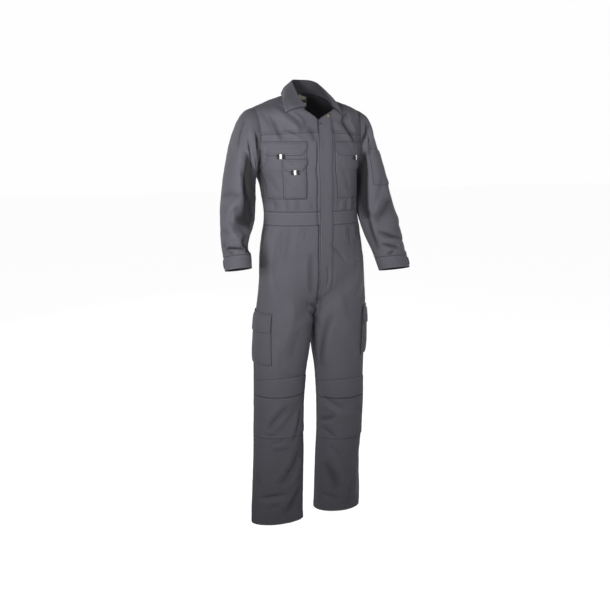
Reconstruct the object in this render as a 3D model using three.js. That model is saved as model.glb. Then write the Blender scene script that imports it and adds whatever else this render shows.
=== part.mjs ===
// A boiler suit in dark grey twill, closed at the front and filled out as if worn, with nobody in it.
// Millimetres. The front faces -Y, the wearer's left is +X and up is +Z.
// The origin lies between the shoulders, where a body would hold the suit up.
import * as THREE from "three";

const clothThickness = 1.5;
const doubleCloth = 2.2; // cuffs, collar and placket are sewn from two layers
const seamGap = 0.34;
const shoulderTrim = 1.1; // the two walls meet at an angle along the shoulder seam
const waistTop = -365;
const waistBottom = -410;
const underarmHeight = -225;
const riseStart = -560; // below this the hips begin to part into two legs
const crotchHeight = -745;
const hemHeight = -1515;
const shoulderTip = { x: 193, z: -20 };
const quarterGirth = 245; // round the body, round a leg and round a sleeve, for placing folds
const legRadius = 92;
const sleeveRadius = 62;
const foldStep = 40; // the sleeve's folds count its rings in steps of this
const cloth = { color: 0x4b4b52, roughness: 0.9, metalness: 0 };
const degree = Math.PI / 180;

const mix = (a, b, t) => a + (b - a) * t;
const clamp = (v, low, high) => Math.min(high, Math.max(low, v));
const smooth = (t) => t * t * (3 - 2 * t);
const vec = (x, y, z) => new THREE.Vector3(x, y, z);

// The body from the underarm to the crotch. shift is the sideways sway of the hips.
const bodySections = [
  { z: -225, shift: 0, halfWidth: 188, front: 130, back: 128 },
  { z: -260, shift: 8, halfWidth: 178, front: 126, back: 122 },
  { z: -300, shift: 14, halfWidth: 175, front: 118, back: 113 },
  { z: -365, shift: 22, halfWidth: 174, front: 103, back: 99 },
  { z: -405, shift: 25, halfWidth: 178, front: 101, back: 101 },
  { z: -450, shift: 26, halfWidth: 186, front: 98, back: 113 },
  { z: -520, shift: 28, halfWidth: 196, front: 95, back: 127 },
  { z: -616, shift: 31, halfWidth: 202, front: 92, back: 132 },
  { z: -690, shift: 28, halfWidth: 207, front: 90, back: 124 },
  { z: -745, shift: 21, halfWidth: 209, front: 88, back: 112 },
];

// The front above the underarm. armhole is the angle round the armhole, 180 at the underarm.
// The inner point runs up the centre and then along the neckline to the shoulder seam.
const frontRows = [
  { armhole: 180, x: 0, sway: 0, y: -130, z: -225, turn: 90, rise: 0 },
  { armhole: 155, x: 0, sway: 0, y: -131, z: -210, turn: 84, rise: 0 },
  { armhole: 130, x: 0, sway: 0, y: -130, z: -180, turn: 76, rise: 0 },
  { armhole: 105, x: 0, sway: 0, y: -125, z: -140, turn: 68, rise: 0 },
  { armhole: 82, x: 0, sway: 1, y: -115, z: -98, turn: 60, rise: 0 },
  { armhole: 62, x: 1, sway: 5, y: -102, z: -59, turn: 52, rise: 2 },
  { armhole: 44, x: 50, sway: 13, y: -86, z: -25, turn: 44, rise: 6 },
  { armhole: 22, x: 64, sway: 8, y: -50, z: -1, turn: 36, rise: 8 },
  { armhole: 0, x: 76, sway: 3, y: 0, z: 17, turn: 30, rise: 6 },
];
const backRows = [
  { armhole: 180, x: 0, sway: 0, y: 128, z: -225, turn: 90, rise: 0 },
  { armhole: 155, x: 0, sway: 0, y: 130, z: -200, turn: 84, rise: 0 },
  { armhole: 130, x: 0, sway: 0, y: 131, z: -160, turn: 76, rise: 0 },
  { armhole: 105, x: 0, sway: 0, y: 127, z: -112, turn: 68, rise: 0 },
  { armhole: 82, x: 0, sway: 1, y: 115, z: -60, turn: 60, rise: 0 },
  { armhole: 62, x: 0, sway: 2, y: 93, z: -12, turn: 52, rise: 2 },
  { armhole: 44, x: 0, sway: 3, y: 58, z: 33, turn: 44, rise: 6 },
  { armhole: 22, x: 46, sway: 3, y: 41, z: 33, turn: 36, rise: 8 },
  { armhole: 0, x: 76, sway: 3, y: 0, z: 17, turn: 30, rise: 6 },
];

const armholeShape = { frontDepth: 62, backDepth: 70, bottomX: 188, hollow: 7 };

// Leg rings from hips to hem; x and y are the ring's centre.
const rightLeg = [
  { z: -560, x: -67, y: 0, halfWidth: 97, front: 92, back: 118 },
  { z: -690, x: -76, y: -3, halfWidth: 104, front: 90, back: 105 },
  { z: -745, x: -84, y: -8, halfWidth: 104.5, front: 87, back: 96 },
  { z: -860, x: -98, y: -16, halfWidth: 103, front: 83, back: 86 },
  { z: -940, x: -107, y: -20, halfWidth: 97, front: 82, back: 80 },
  { z: -1040, x: -114, y: -24, halfWidth: 92, front: 82, back: 76 },
  { z: -1130, x: -117, y: -27, halfWidth: 93, front: 77, back: 74 },
  { z: -1220, x: -118, y: -30, halfWidth: 95, front: 72, back: 68 },
  { z: -1310, x: -121, y: -33, halfWidth: 97, front: 64, back: 62 },
  { z: -1440, x: -126, y: -36, halfWidth: 100, front: 51, back: 54 },
  { z: -1515, x: -127, y: -37, halfWidth: 101, front: 45, back: 50 },
];
const leftLeg = [
  { z: -560, x: 125, y: 0, halfWidth: 97, front: 92, back: 118 },
  { z: -690, x: 132, y: 0, halfWidth: 104, front: 90, back: 105 },
  { z: -745, x: 126.5, y: -1, halfWidth: 105, front: 87, back: 96 },
  { z: -860, x: 130, y: -2, halfWidth: 102, front: 84, back: 86 },
  { z: -950, x: 135, y: -3, halfWidth: 94, front: 82, back: 80 },
  { z: -1030, x: 138, y: -4, halfWidth: 91, front: 81, back: 77 },
  { z: -1120, x: 138, y: -4, halfWidth: 89, front: 78, back: 75 },
  { z: -1220, x: 136, y: -5, halfWidth: 88, front: 74, back: 72 },
  { z: -1320, x: 130, y: -5, halfWidth: 87, front: 71, back: 69 },
  { z: -1420, x: 129, y: -5, halfWidth: 89, front: 67, back: 65 },
  { z: -1515, x: 130, y: -5, halfWidth: 94, front: 61, back: 60 },
];

// Sleeve rings after the armhole: outer and inner points, the ring's own y, half its depth and its tilt.
const rightSleeve = [
  { outX: 218, outZ: -31, inX: 189, inZ: -232, y: 0, half: 70, tilt: 0 },
  { outX: 240, outZ: -57, inX: 190, inZ: -241, y: -2, half: 74, tilt: 0 },
  { outX: 257, outZ: -93, inX: 190, inZ: -253, y: -4, half: 77, tilt: 0 },
  { outX: 271, outZ: -133, inX: 191, inZ: -268, y: -7, half: 78, tilt: 1 },
  { outX: 284, outZ: -177, inX: 192, inZ: -288, y: -11, half: 77, tilt: 2 },
  { outX: 297, outZ: -228, inX: 193, inZ: -314, y: -18, half: 75, tilt: 5 },
  { outX: 310, outZ: -288, inX: 197, inZ: -347, y: -28, half: 72, tilt: 9 },
  { outX: 321, outZ: -345, inX: 204, inZ: -384, y: -43, half: 68, tilt: 13 },
  { outX: 327, outZ: -395, inX: 220, inZ: -416, y: -60, half: 63, tilt: 15 },
  { outX: 332, outZ: -440, inX: 238, inZ: -449, y: -77, half: 57, tilt: 16 },
  { outX: 333, outZ: -478, inX: 246, inZ: -480, y: -91, half: 51, tilt: 16 },
  { outX: 332, outZ: -502, inX: 240, inZ: -500, y: -101, half: 48, tilt: 15 },
  { outX: 333, outZ: -544, inX: 243, inZ: -542, y: -117, half: 46, tilt: 15 },
];
const leftSleeve = [
  { outX: 214, outZ: -31, inX: 189, inZ: -232, y: 0, half: 70, tilt: 0 },
  { outX: 232, outZ: -57, inX: 190, inZ: -241, y: -2, half: 74, tilt: 0 },
  { outX: 247, outZ: -93, inX: 190, inZ: -253, y: -4, half: 77, tilt: 0 },
  { outX: 261, outZ: -135, inX: 191, inZ: -269, y: -7, half: 78, tilt: 1 },
  { outX: 275, outZ: -180, inX: 191, inZ: -290, y: -12, half: 77, tilt: 2 },
  { outX: 290, outZ: -232, inX: 192, inZ: -318, y: -19, half: 75, tilt: 5 },
  { outX: 306, outZ: -294, inX: 194, inZ: -356, y: -30, half: 72, tilt: 9 },
  { outX: 319, outZ: -354, inX: 198, inZ: -397, y: -45, half: 69, tilt: 13 },
  { outX: 331, outZ: -412, inX: 204, inZ: -435, y: -64, half: 64, tilt: 15 },
  { outX: 339, outZ: -462, inX: 212, inZ: -472, y: -83, half: 59, tilt: 16 },
  { outX: 343, outZ: -502, inX: 221, inZ: -505, y: -99, half: 54, tilt: 16 },
  { outX: 347, outZ: -534, inX: 227, inZ: -534, y: -112, half: 51, tilt: 15 },
  { outX: 350, outZ: -574, inX: 236, inZ: -575, y: -128, half: 49, tilt: 15 },
];
const cuffRow = 12; // the sleeve ends and the cuff starts at this ring
const lastRow = 13; // where the cuff ends

// A value read from a table, on a smooth curve through its rows.
function read(table, by, key, at) {
  const rising = table[table.length - 1][by] > table[0][by];
  const ahead = (row) => (rising ? row[by] >= at : row[by] <= at);
  let i = table.findIndex(ahead);
  i = clamp(i < 0 ? table.length - 1 : i, 1, table.length - 1);
  const [a, b] = [table[i - 1], table[i]];
  const span = b[by] - a[by];
  const slope = (low, high) => {
    const [p, q] = [table[clamp(low, 0, table.length - 1)], table[clamp(high, 0, table.length - 1)]];
    return ((q[key] - p[key]) / (q[by] - p[by])) * span;
  };
  const t = clamp((at - a[by]) / span, 0, 1);
  const [m0, m1] = [slope(i - 2, i), slope(i - 1, i + 1)];
  const [t2, t3] = [t * t, t * t * t];
  return (
    (2 * t3 - 3 * t2 + 1) * a[key] + (t3 - 2 * t2 + t) * m0 + (3 * t2 - 2 * t3) * b[key] + (t3 - t2) * m1
  );
}

// Folds are soft ridges, or troughs where height is negative, along a line on the unrolled cloth.
// across is millimetres round the part from its own seam, down is the height above the hem or origin.
function foldHeight(folds, across, down) {
  let height = 0;
  for (const f of folds) {
    const [dx, dz] = [f.toAcross - f.across, f.toDown - f.down];
    const length = Math.hypot(dx, dz);
    const along = ((across - f.across) * dx + (down - f.down) * dz) / (length * length);
    if (along <= 0 || along >= 1) continue;
    const off = ((across - f.across) * dz - (down - f.down) * dx) / length;
    height += f.height * Math.sqrt(4 * along * (1 - along)) * Math.exp(-((off / f.width) ** 2));
  }
  return height;
}

// Body folds: across is millimetres from the centre front, + on the wearer's left; down is z.
const frontFolds = [
  { across: -150, down: -20, toAcross: -70, toDown: -100, width: 15, height: 5 },
  { across: -110, down: 0, toAcross: -55, toDown: -95, width: 11, height: -4 },
  { across: -190, down: -60, toAcross: -120, toDown: -125, width: 14, height: -4 },
  { across: 60, down: -60, toAcross: 165, toDown: -140, width: 15, height: 5 },
  { across: 100, down: -30, toAcross: 175, toDown: -110, width: 14, height: -4 },
  { across: -215, down: -300, toAcross: -150, toDown: -362, width: 13, height: -3 },
  { across: -110, down: -300, toAcross: -104, toDown: -364, width: 9, height: 3 },
  { across: 120, down: -315, toAcross: 112, toDown: -364, width: 9, height: 3 },
];
const backFolds = [
  { across: -150, down: -60, toAcross: -80, toDown: -200, width: 22, height: 5 },
  { across: 150, down: -60, toAcross: 85, toDown: -200, width: 22, height: 5 },
  { across: -120, down: -290, toAcross: -112, toDown: -364, width: 12, height: 4 },
  { across: -40, down: -280, toAcross: -44, toDown: -364, width: 12, height: 4 },
  { across: 40, down: -285, toAcross: 42, toDown: -364, width: 12, height: 4 },
  { across: 120, down: -290, toAcross: 114, toDown: -364, width: 12, height: 4 },
];
// Leg folds: across is millimetres from the side seam, + towards the front; down is z.
const rightLegFolds = [
  { across: 60, down: -420, toAcross: 85, toDown: -700, width: 28, height: 5 },
  { across: 130, down: -430, toAcross: 120, toDown: -640, width: 26, height: -4 },
  { across: 235, down: -690, toAcross: 120, toDown: -760, width: 24, height: -4 },
  { across: 200, down: -1040, toAcross: 90, toDown: -1180, width: 26, height: -5 },
  { across: 230, down: -1060, toAcross: 150, toDown: -1290, width: 26, height: 5 },
  { across: 220, down: -1260, toAcross: 120, toDown: -1470, width: 28, height: 5 },
  { across: 40, down: -1380, toAcross: 190, toDown: -1400, width: 24, height: -4 },
  { across: -60, down: -620, toAcross: -150, toDown: -760, width: 28, height: -6 },
  { across: -60, down: -1020, toAcross: -210, toDown: -1080, width: 26, height: -6 },
  { across: -50, down: -1110, toAcross: -200, toDown: -1120, width: 24, height: 5 },
];
const leftLegFolds = [
  { across: 70, down: -420, toAcross: 110, toDown: -560, width: 26, height: -4 },
  { across: 60, down: -520, toAcross: 190, toDown: -700, width: 28, height: 5 },
  { across: 210, down: -720, toAcross: 110, toDown: -900, width: 26, height: -5 },
  { across: 210, down: -1040, toAcross: 70, toDown: -1110, width: 24, height: -5 },
  { across: 210, down: -1130, toAcross: 60, toDown: -1090, width: 22, height: 4 },
  { across: 210, down: -1250, toAcross: 90, toDown: -1460, width: 30, height: 5 },
  { across: 15, down: -1380, toAcross: 10, toDown: -1500, width: 20, height: 5 },
  { across: -60, down: -620, toAcross: -150, toDown: -760, width: 28, height: -6 },
  { across: -60, down: -1030, toAcross: -210, toDown: -1070, width: 26, height: -6 },
  { across: -50, down: -1120, toAcross: -200, toDown: -1110, width: 24, height: 5 },
];
// Sleeve folds: across is millimetres round the sleeve from its top line, + towards the front;
// down counts the rings below the armhole, times the fold step.
const rightSleeveFolds = [
  { across: 40, down: 60, toAcross: 125, toDown: 150, width: 13, height: -6 },
  { across: 75, down: 40, toAcross: 150, toDown: 110, width: 12, height: 6 },
  { across: 60, down: 190, toAcross: 165, toDown: 330, width: 17, height: -9 },
  { across: 40, down: 330, toAcross: 165, toDown: 250, width: 15, height: 6 },
  { across: 35, down: 345, toAcross: 150, toDown: 400, width: 13, height: -7 },
  { across: 10, down: 425, toAcross: 150, toDown: 420, width: 9, height: -7 },
  { across: 0, down: 450, toAcross: 160, toDown: 447, width: 9, height: 6 },
  { across: -150, down: 270, toAcross: -40, toDown: 330, width: 15, height: -7 },
  { across: -150, down: 380, toAcross: -30, toDown: 400, width: 13, height: -6 },
];
const leftSleeveFolds = [
  { across: 40, down: 10, toAcross: 110, toDown: 110, width: 12, height: -7 },
  { across: 15, down: 40, toAcross: 90, toDown: 130, width: 13, height: 6 },
  { across: 60, down: 230, toAcross: 150, toDown: 330, width: 18, height: -8 },
  { across: 20, down: 360, toAcross: 150, toDown: 330, width: 15, height: 6 },
  { across: 30, down: 395, toAcross: 150, toDown: 400, width: 11, height: -5 },
  { across: 20, down: 440, toAcross: 130, toDown: 436, width: 10, height: -5 },
  { across: -150, down: 280, toAcross: -40, toDown: 330, width: 15, height: -7 },
  { across: -150, down: 390, toAcross: -30, toDown: 410, width: 13, height: -6 },
];

// The armhole seam; front is 1 for the front half and -1 for the back half.
function armholePoint(side, angle, front) {
  const s = Math.sin(angle * degree);
  const c = Math.cos(angle * degree);
  const middle = (shoulderTip.z + underarmHeight) / 2;
  const reach = (shoulderTip.z - underarmHeight) / 2;
  const x = mix(armholeShape.bottomX, shoulderTip.x, (1 + c) / 2) - armholeShape.hollow * s * s;
  const depth = front > 0 ? -armholeShape.frontDepth : armholeShape.backDepth;
  return vec(side * x, depth * s, middle + reach * c);
}

// The body from side to side at one height; turn is 0 at the centre front, 90 at the side, 180 at the back.
function bodyRing(side, turn, z) {
  const section = (key) => read(bodySections, "z", key, z);
  const depth = turn <= 90 ? section("front") : section("back");
  const s = Math.sin(turn * degree);
  const c = Math.cos(turn * degree);
  return vec(section("shift") + side * section("halfWidth") * s, -depth * c, z);
}

// The front or back above the waist. u runs from the centre to the side seam or armhole.
// v is 0 at the bottom of the waistband, 1 at the underarm and then counts the rows up to the shoulder.
function torsoPoint(side, front, u, v) {
  if (v <= 1) {
    const turn = front > 0 ? u * 90 : 180 - u * 90;
    return bodyRing(side, turn, mix(waistBottom, underarmHeight, v));
  }
  const rows = (front > 0 ? frontRows : backRows).map((row, i) => ({ ...row, i: i + 1 }));
  const value = (key) => read(rows, "i", key, v);
  const edge = armholePoint(side, value("armhole"), front);
  const full = value("turn") * degree;
  const across = Math.sin(u * full) / Math.sin(full);
  const bulge = (Math.cos(u * full) - Math.cos(full)) / (1 - Math.cos(full));
  const inner = vec(value("sway") + side * Math.max(0, value("x")), value("y"), value("z"));
  return vec(
    mix(inner.x, edge.x, across),
    mix(edge.y, inner.y, bulge),
    mix(inner.z, edge.z, u) + value("rise") * 4 * u * (1 - u) * 0.5,
  );
}

// One leg with its half of the hips. turn is 0 at the centre front or inseam, 180 at the side seam.
function legPoint(side, turn, z) {
  const table = side < 0 ? rightLeg : leftLeg;
  const value = (key) => read(table, "z", key, Math.min(z, table[0].z));
  const s = Math.sin(turn * degree);
  const c = Math.cos(turn * degree);
  const depth = s >= 0 ? value("front") : value("back");
  const ring = vec(value("x") - side * value("halfWidth") * c, value("y") - depth * s, z);
  if (z <= crotchHeight) return ring;
  const t = clamp((riseStart - z) / (riseStart - crotchHeight), 0, 1);
  const inner = Math.max(0, c) ** 2;
  return bodyRing(side, turn / 2, z).lerp(ring, mix(smooth(t), t * t, inner));
}

// A sleeve ring at row r, where 0 is the armhole. turn is 0 on top, 90 in front, 180 underneath.
function sleevePoint(side, turn, r) {
  const table = side < 0 ? rightSleeve : leftSleeve;
  const ring = (k) => {
    const wrapped = ((turn % 360) + 360) % 360;
    const inFront = wrapped <= 180;
    if (k <= 0) return armholePoint(side, inFront ? wrapped : 360 - wrapped, inFront ? 1 : -1);
    const row = table[Math.min(k, table.length) - 1];
    const c = Math.cos(turn * degree);
    const s = Math.sin(turn * degree);
    const tilt = row.tilt * degree;
    const x = (row.outX + row.inX) / 2 + ((row.outX - row.inX) / 2) * c;
    const z = (row.outZ + row.inZ) / 2 + ((row.outZ - row.inZ) / 2) * c;
    return vec(side * x, row.y - row.half * Math.cos(tilt) * s, z + row.half * Math.sin(tilt) * s);
  };
  const k = clamp(Math.floor(r), 0, table.length - 1);
  const t = r - k;
  const [p0, p1] = [ring(Math.max(k - 1, 0)), ring(k)];
  const [p2, p3] = [ring(k + 1), ring(Math.min(k + 2, table.length))];
  const m0 = p2.clone().sub(p0).multiplyScalar(k > 0 ? 0.5 : 1);
  const m1 = p3.clone().sub(p1).multiplyScalar(k + 2 <= table.length ? 0.5 : 1);
  const [t2, t3] = [t * t, t * t * t];
  return p1
    .multiplyScalar(2 * t3 - 3 * t2 + 1)
    .addScaledVector(m0, t3 - 2 * t2 + t)
    .addScaledVector(p2, 3 * t2 - 2 * t3)
    .addScaledVector(m1, t3 - t2);
}

// Adds the folds to a surface and gives its outward normal. The surface is a function of (a, b).
function folded(surface, outward, stepA, stepB, lift) {
  return (a, b) => {
    const point = surface(a, b);
    const da = surface(a + stepA, b).sub(surface(a - stepA, b));
    const db = surface(a, b + stepB).sub(surface(a, b - stepB));
    const normal = da.cross(db).normalize().multiplyScalar(outward);
    return { point: point.addScaledVector(normal, lift(a, b, point)), normal };
  };
}

const torso = (side, front) =>
  folded(
    (u, v) => torsoPoint(side, front, clamp(u, 0, 1), clamp(v, 0, 9)),
    side * front,
    0.01,
    0.02,
    (u, v, p) => {
      const settle = smooth(clamp(v / 0.4, 0, 1)) * smooth(clamp((1 - u) / 0.12, 0, 1));
      return settle * foldHeight(front > 0 ? frontFolds : backFolds, side * u * quarterGirth, p.z);
    },
  );

const leg = (side) =>
  folded(
    (turn, z) => legPoint(side, turn, clamp(z, hemHeight, waistBottom)),
    side,
    1,
    2,
    (turn, z) => {
      const settle = smooth(clamp((waistBottom - z) / 40, 0, 1));
      const across = (180 - turn) * degree * legRadius;
      return settle * foldHeight(side < 0 ? rightLegFolds : leftLegFolds, across, z);
    },
  );

const sleeve = (side) =>
  folded(
    (turn, r) => sleevePoint(side, turn, clamp(r, 0, lastRow)),
    side,
    2,
    0.05,
    (turn, r) => {
      const settle = smooth(clamp(r / 1.5, 0, 1)) * smooth(clamp((cuffRow - r) / 0.6, 0, 1));
      const across = (turn > 180 ? turn - 360 : turn) * degree * sleeveRadius;
      return settle * foldHeight(side < 0 ? rightSleeveFolds : leftSleeveFolds, across, r * foldStep);
    },
  );

const span = (from, to, count) => Array.from({ length: count + 1 }, (_, i) => mix(from, to, i / count));

// A grid of points with their normals, made from a folded surface: one row for each b.
function grid(surface, as, bs, lift = 0) {
  return bs.map((b) =>
    as.map((a) => {
      const { point, normal } = surface(a, b);
      return { point: point.addScaledVector(normal, lift), normal };
    }),
  );
}

const pointsOf = (cells) => cells.map((row) => row.map((cell) => cell.point));

// Normals from the facets themselves, so that walls keep their thickness round tight bends.
function facetNormals(points, closed, flip) {
  const rows = points.length;
  const cols = points[0].length;
  const at = (i, j) => points[clamp(i, 0, rows - 1)][closed ? (j + cols) % cols : clamp(j, 0, cols - 1)];
  return points.map((row, i) =>
    row.map((_, j) => {
      const da = at(i, j + 1).clone().sub(at(i, j - 1));
      const db = at(i + 1, j).clone().sub(at(i - 1, j));
      return da.cross(db).normalize().multiplyScalar(flip ? -1 : 1);
    }),
  );
}

// Pulls the edges of a grid in along its own lines, which leaves the gap at a seam.
function trimmed(points, trims) {
  const rows = points.length;
  const cols = points[0].length;
  const result = points.map((row) => row.map((p) => p.clone()));
  const pull = (i, j, k, l, by) => {
    const step = points[k][l].clone().sub(points[i][j]);
    if (step.length() > by) result[i][j].addScaledVector(step.normalize(), by);
  };
  for (let i = 0; i < rows; i++) {
    if (trims.start) pull(i, 0, i, 1, trims.start);
    if (trims.end) pull(i, cols - 1, i, cols - 2, trims.end);
  }
  for (let j = 0; j < cols; j++) {
    if (trims.bottom) pull(0, j, 1, j, trims.bottom);
    if (trims.top) pull(rows - 1, j, rows - 2, j, trims.top);
  }
  return result;
}

// A wall of cloth from one or more grids that share edges. The outer face is the grids' points,
// the inner one lies a thickness below it, and every free edge gets a rim.
function wall(name, cells, options = {}) {
  return shell(name, [{ cells, ...options }], options);
}

function shell(name, sheets, options) {
  const { thickness = clothThickness, colour } = options;
  const outer = [];
  const normals = [];
  const faces = [];
  const known = new Map();
  const weld = (p, n) => {
    const key = [p.x, p.y, p.z].map((v) => Math.round(v * 200)).join();
    if (!known.has(key)) {
      known.set(key, outer.length);
      outer.push(p);
      normals.push(n.clone());
    } else normals[known.get(key)].add(n);
    return known.get(key);
  };
  for (const sheet of sheets) {
    const { cells, closed = false, flip = false, trims = {}, own = false } = sheet;
    const points = trimmed(pointsOf(cells), trims);
    const surface = own ? facetNormals(points, closed, flip) : cells.map((row) => row.map((c) => c.normal));
    const ids = points.map((row, i) => row.map((p, j) => weld(p, surface[i][j])));
    const last = closed ? points[0].length : points[0].length - 1;
    const triangle = (a, b, c) => {
      if (a !== b && b !== c && a !== c) faces.push(flip ? [a, c, b] : [a, b, c]);
    };
    for (let i = 0; i < ids.length - 1; i++) {
      for (let j = 0; j < last; j++) {
        const k = (j + 1) % ids[0].length;
        triangle(ids[i][j], ids[i][k], ids[i + 1][k]);
        triangle(ids[i][j], ids[i + 1][k], ids[i + 1][j]);
      }
    }
  }
  const count = outer.length;
  const inner = outer.map((p, i) => p.clone().addScaledVector(normals[i].normalize(), -thickness));
  const index = [];
  const edges = new Set(faces.flatMap(([a, b, c]) => [`${a},${b}`, `${b},${c}`, `${c},${a}`]));
  for (const [a, b, c] of faces) index.push(a, b, c, count + a, count + c, count + b);
  for (const edge of edges) {
    const [a, b] = edge.split(",").map(Number);
    if (!edges.has(`${b},${a}`)) index.push(a, count + a, count + b, a, count + b, b);
  }
  const geometry = new THREE.BufferGeometry();
  const positions = [...outer, ...inner].flatMap((p) => [p.x, p.y, p.z]);
  geometry.setAttribute("position", new THREE.Float32BufferAttribute(positions, 3));
  geometry.setIndex(index);
  return piece(name, geometry, colour);
}

const suit = new THREE.Group();

function piece(name, geometry, colour) {
  const mesh = new THREE.Mesh(geometry, new THREE.MeshStandardMaterial(colour || cloth));
  mesh.name = name;
  suit.add(mesh);
  return mesh;
}

const half = seamGap / 2;
const sides = [
  { side: -1, tag: "right" },
  { side: 1, tag: "left" },
];
const yokeRow = 5; // the row of the front where the yoke seam runs
const necklineRow = 7; // above this row a panel's inner edge is the neckline
const shoulderSeamRow = 9;

// One grid from side to side, made of the halves on both sides of the centre.
const bothHalves = (right, left) => right.map((row, i) => [...row.slice().reverse(), ...left[i].slice(1)]);

// Front panels, front yokes and the back.
function upperBody() {
  const waistV = (waistTop - waistBottom) / (underarmHeight - waistBottom);
  const across = span(0, 1, 9);
  for (const { side, tag } of sides) {
    const surface = torso(side, 1);
    const lower = [...span(waistV, 1, 4), 2, 3, 4, yokeRow];
    const upper = [yokeRow, 5.6, 6, 6.6, 7, 7.5, 8, 8.5, 9];
    const trims = { start: half, end: half, bottom: half, top: half };
    wall(`front_${tag}`, grid(surface, across, lower), { flip: side < 0, trims });
    const yokeTrims = { ...trims, top: shoulderTrim };
    wall(`front_yoke_${tag}`, grid(surface, across, upper), { flip: side < 0, trims: yokeTrims });
  }
  const rowsUp = [...span(waistV, 1, 4), 2, 3, 4, 5, 6, 6.5, 7, 7.5, 8, 8.5, 9];
  const left = grid(torso(1, -1), span(0, 1, 9), rowsUp);
  const right = grid(torso(-1, -1), span(0, 1, 9), rowsUp);
  const neckIndex = rowsUp.indexOf(necklineRow); // the halves part here to go round the neck
  const lowerBack = bothHalves(right, left).slice(0, neckIndex + 1);
  shell(
    "back",
    [
      { cells: lowerBack, flip: true, trims: { start: half, end: half, bottom: half } },
      { cells: right.slice(neckIndex), trims: { end: half, top: shoulderTrim } },
      { cells: left.slice(neckIndex), flip: true, trims: { end: half, top: shoulderTrim } },
    ],
    {},
  );
}

function waistband() {
  const waistV = (waistTop - waistBottom) / (underarmHeight - waistBottom);
  const rows = span(0, waistV, 2);
  const trims = { start: half, end: half, bottom: half, top: half };
  for (const { side, tag } of sides) {
    wall(`waistband_front_${tag}`, grid(torso(side, 1), span(0, 1, 9), rows), { flip: side < 0, trims });
  }
  const left = grid(torso(1, -1), span(0, 1, 9), rows);
  const right = grid(torso(-1, -1), span(0, 1, 9), rows);
  wall("waistband_back", bothHalves(right, left), { flip: true, trims });
}

// The hems don't hang level: how much higher than the lowest point the cloth ends, in the last stretch.
function hemRaise(side, turn, z) {
  const outward = (1 - Math.cos(turn * degree)) / 2;
  const raise = side < 0 ? mix(2, 15, outward) : mix(9, 2, outward);
  return raise * clamp((z + 1300) / (hemHeight + 1300), 0, 1);
}

function legs() {
  const heights = [
    ...span(waistBottom, riseStart, 4),
    ...span(riseStart, crotchHeight, 5).slice(1),
    ...span(crotchHeight, hemHeight, 17).slice(1),
  ];
  for (const { side, tag } of sides) {
    const surface = (turn, z) => leg(side)(turn, z + hemRaise(side, turn, z));
    const trims = { start: half, end: half, bottom: half };
    wall(`leg_front_${tag}`, grid(surface, span(0, 180, 8), heights), { flip: side > 0, trims });
    wall(`leg_back_${tag}`, grid(surface, span(180, 360, 8), heights), { flip: side > 0, trims });
  }
}

// Each sleeve is a front and a back half, and its cuff a closed ring.
function sleeves() {
  const halfColumns = 9;
  const rings = [0, 0.5, 1.1, 1.9, 2.8, 3.8, 4.9, 6, 6.8, 7.5, 8.1, 8.7, 9.3, 9.9, 10.5, 11.2, cuffRow];
  for (const { side, tag } of sides) {
    const surface = sleeve(side);
    const flip = side < 0;
    const turns = span(0, 360, 2 * halfColumns).slice(0, -1);
    const points = pointsOf(grid(surface, turns, rings));
    const normals = facetNormals(points, true, flip);
    const tube = points.map((row, i) => row.map((point, j) => ({ point, normal: normals[i][j] })));
    const trims = { start: half, end: half, bottom: seamGap, top: seamGap };
    wall(`sleeve_front_${tag}`, tube.map((row) => row.slice(0, halfColumns + 1)), { flip, trims });
    wall(`sleeve_back_${tag}`, tube.map((row) => [...row.slice(halfColumns), row[0]]), { flip, trims });
    const cuff = grid(surface, turns, span(cuffRow, lastRow, 2), 0.4);
    wall(`cuff_${tag}`, cuff, { closed: true, flip, thickness: doubleCloth, trims: { bottom: half } });
  }
}

// Places on the suit. Each gives the point and normal there.
// On the front, across is millimetres from the centre on one side, measured round the body.
function onFront(side) {
  const surface = torso(side, 1);
  return (across, z) => {
    let [u, v] = [across / quarterGirth, 1];
    for (let pass = 0; pass < 3; pass++) {
      v = solve((t) => torsoPoint(side, 1, u, t).z, z, 0, 9);
      const ring = span(0, 1, 24).map((t) => torsoPoint(side, 1, t, v));
      u = solveLength(ring, across) / 24;
    }
    return surface(u, v);
  };
}

// On a leg, across is millimetres from the side seam, + towards the front.
function onLeg(side) {
  const surface = leg(side);
  return (across, z) => {
    const turns = across >= 0 ? span(180, 0, 24) : span(180, 360, 24);
    const ring = turns.map((turn) => legPoint(side, turn, z));
    const part = solveLength(ring, Math.abs(across)) / 24;
    return surface(mix(turns[0], turns[24], part), z);
  };
}

// The strip of the fly: x is measured from the middle of the body at that height.
function onFly(x, z) {
  const side = x < 0 ? -1 : 1;
  const middle = z > underarmHeight ? 0 : read(bodySections, "z", "shift", z);
  if (z < waistBottom) {
    const turn = solve((t) => side * (legPoint(side, t, z).x - middle), Math.abs(x), 0, 90);
    return leg(side)(turn, z);
  }
  let [u, v] = [0.1, 3];
  for (let pass = 0; pass < 8; pass++) {
    v = solve((t) => torsoPoint(side, 1, u, t).z, z, 0, 8);
    u = solve((t) => side * torsoPoint(side, 1, t, v).x, side * (x + middle), 0, 1);
  }
  return torso(side, 1)(u, v);
}

// The value between low and high at which a rising or falling function passes the target.
function solve(f, target, low, high) {
  const rising = f(high) > f(low);
  for (let i = 0; i < 18; i++) {
    const t = (low + high) / 2;
    if (f(t) > target === rising) high = t;
    else low = t;
  }
  return (low + high) / 2;
}

// The index along a line of points at which its length reaches the target.
function solveLength(points, target) {
  let length = 0;
  for (let i = 1; i < points.length; i++) {
    const step = points[i].distanceTo(points[i - 1]);
    if (length + step >= target) return i - 1 + (target - length) / step;
    length += step;
  }
  return points.length - 1;
}

const at = (value, t) => (typeof value === "function" ? value(t) : value);
const pillow = (s, t, power) => Math.max(0, 16 * s * (1 - s) * t * (1 - t)) ** power;

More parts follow.
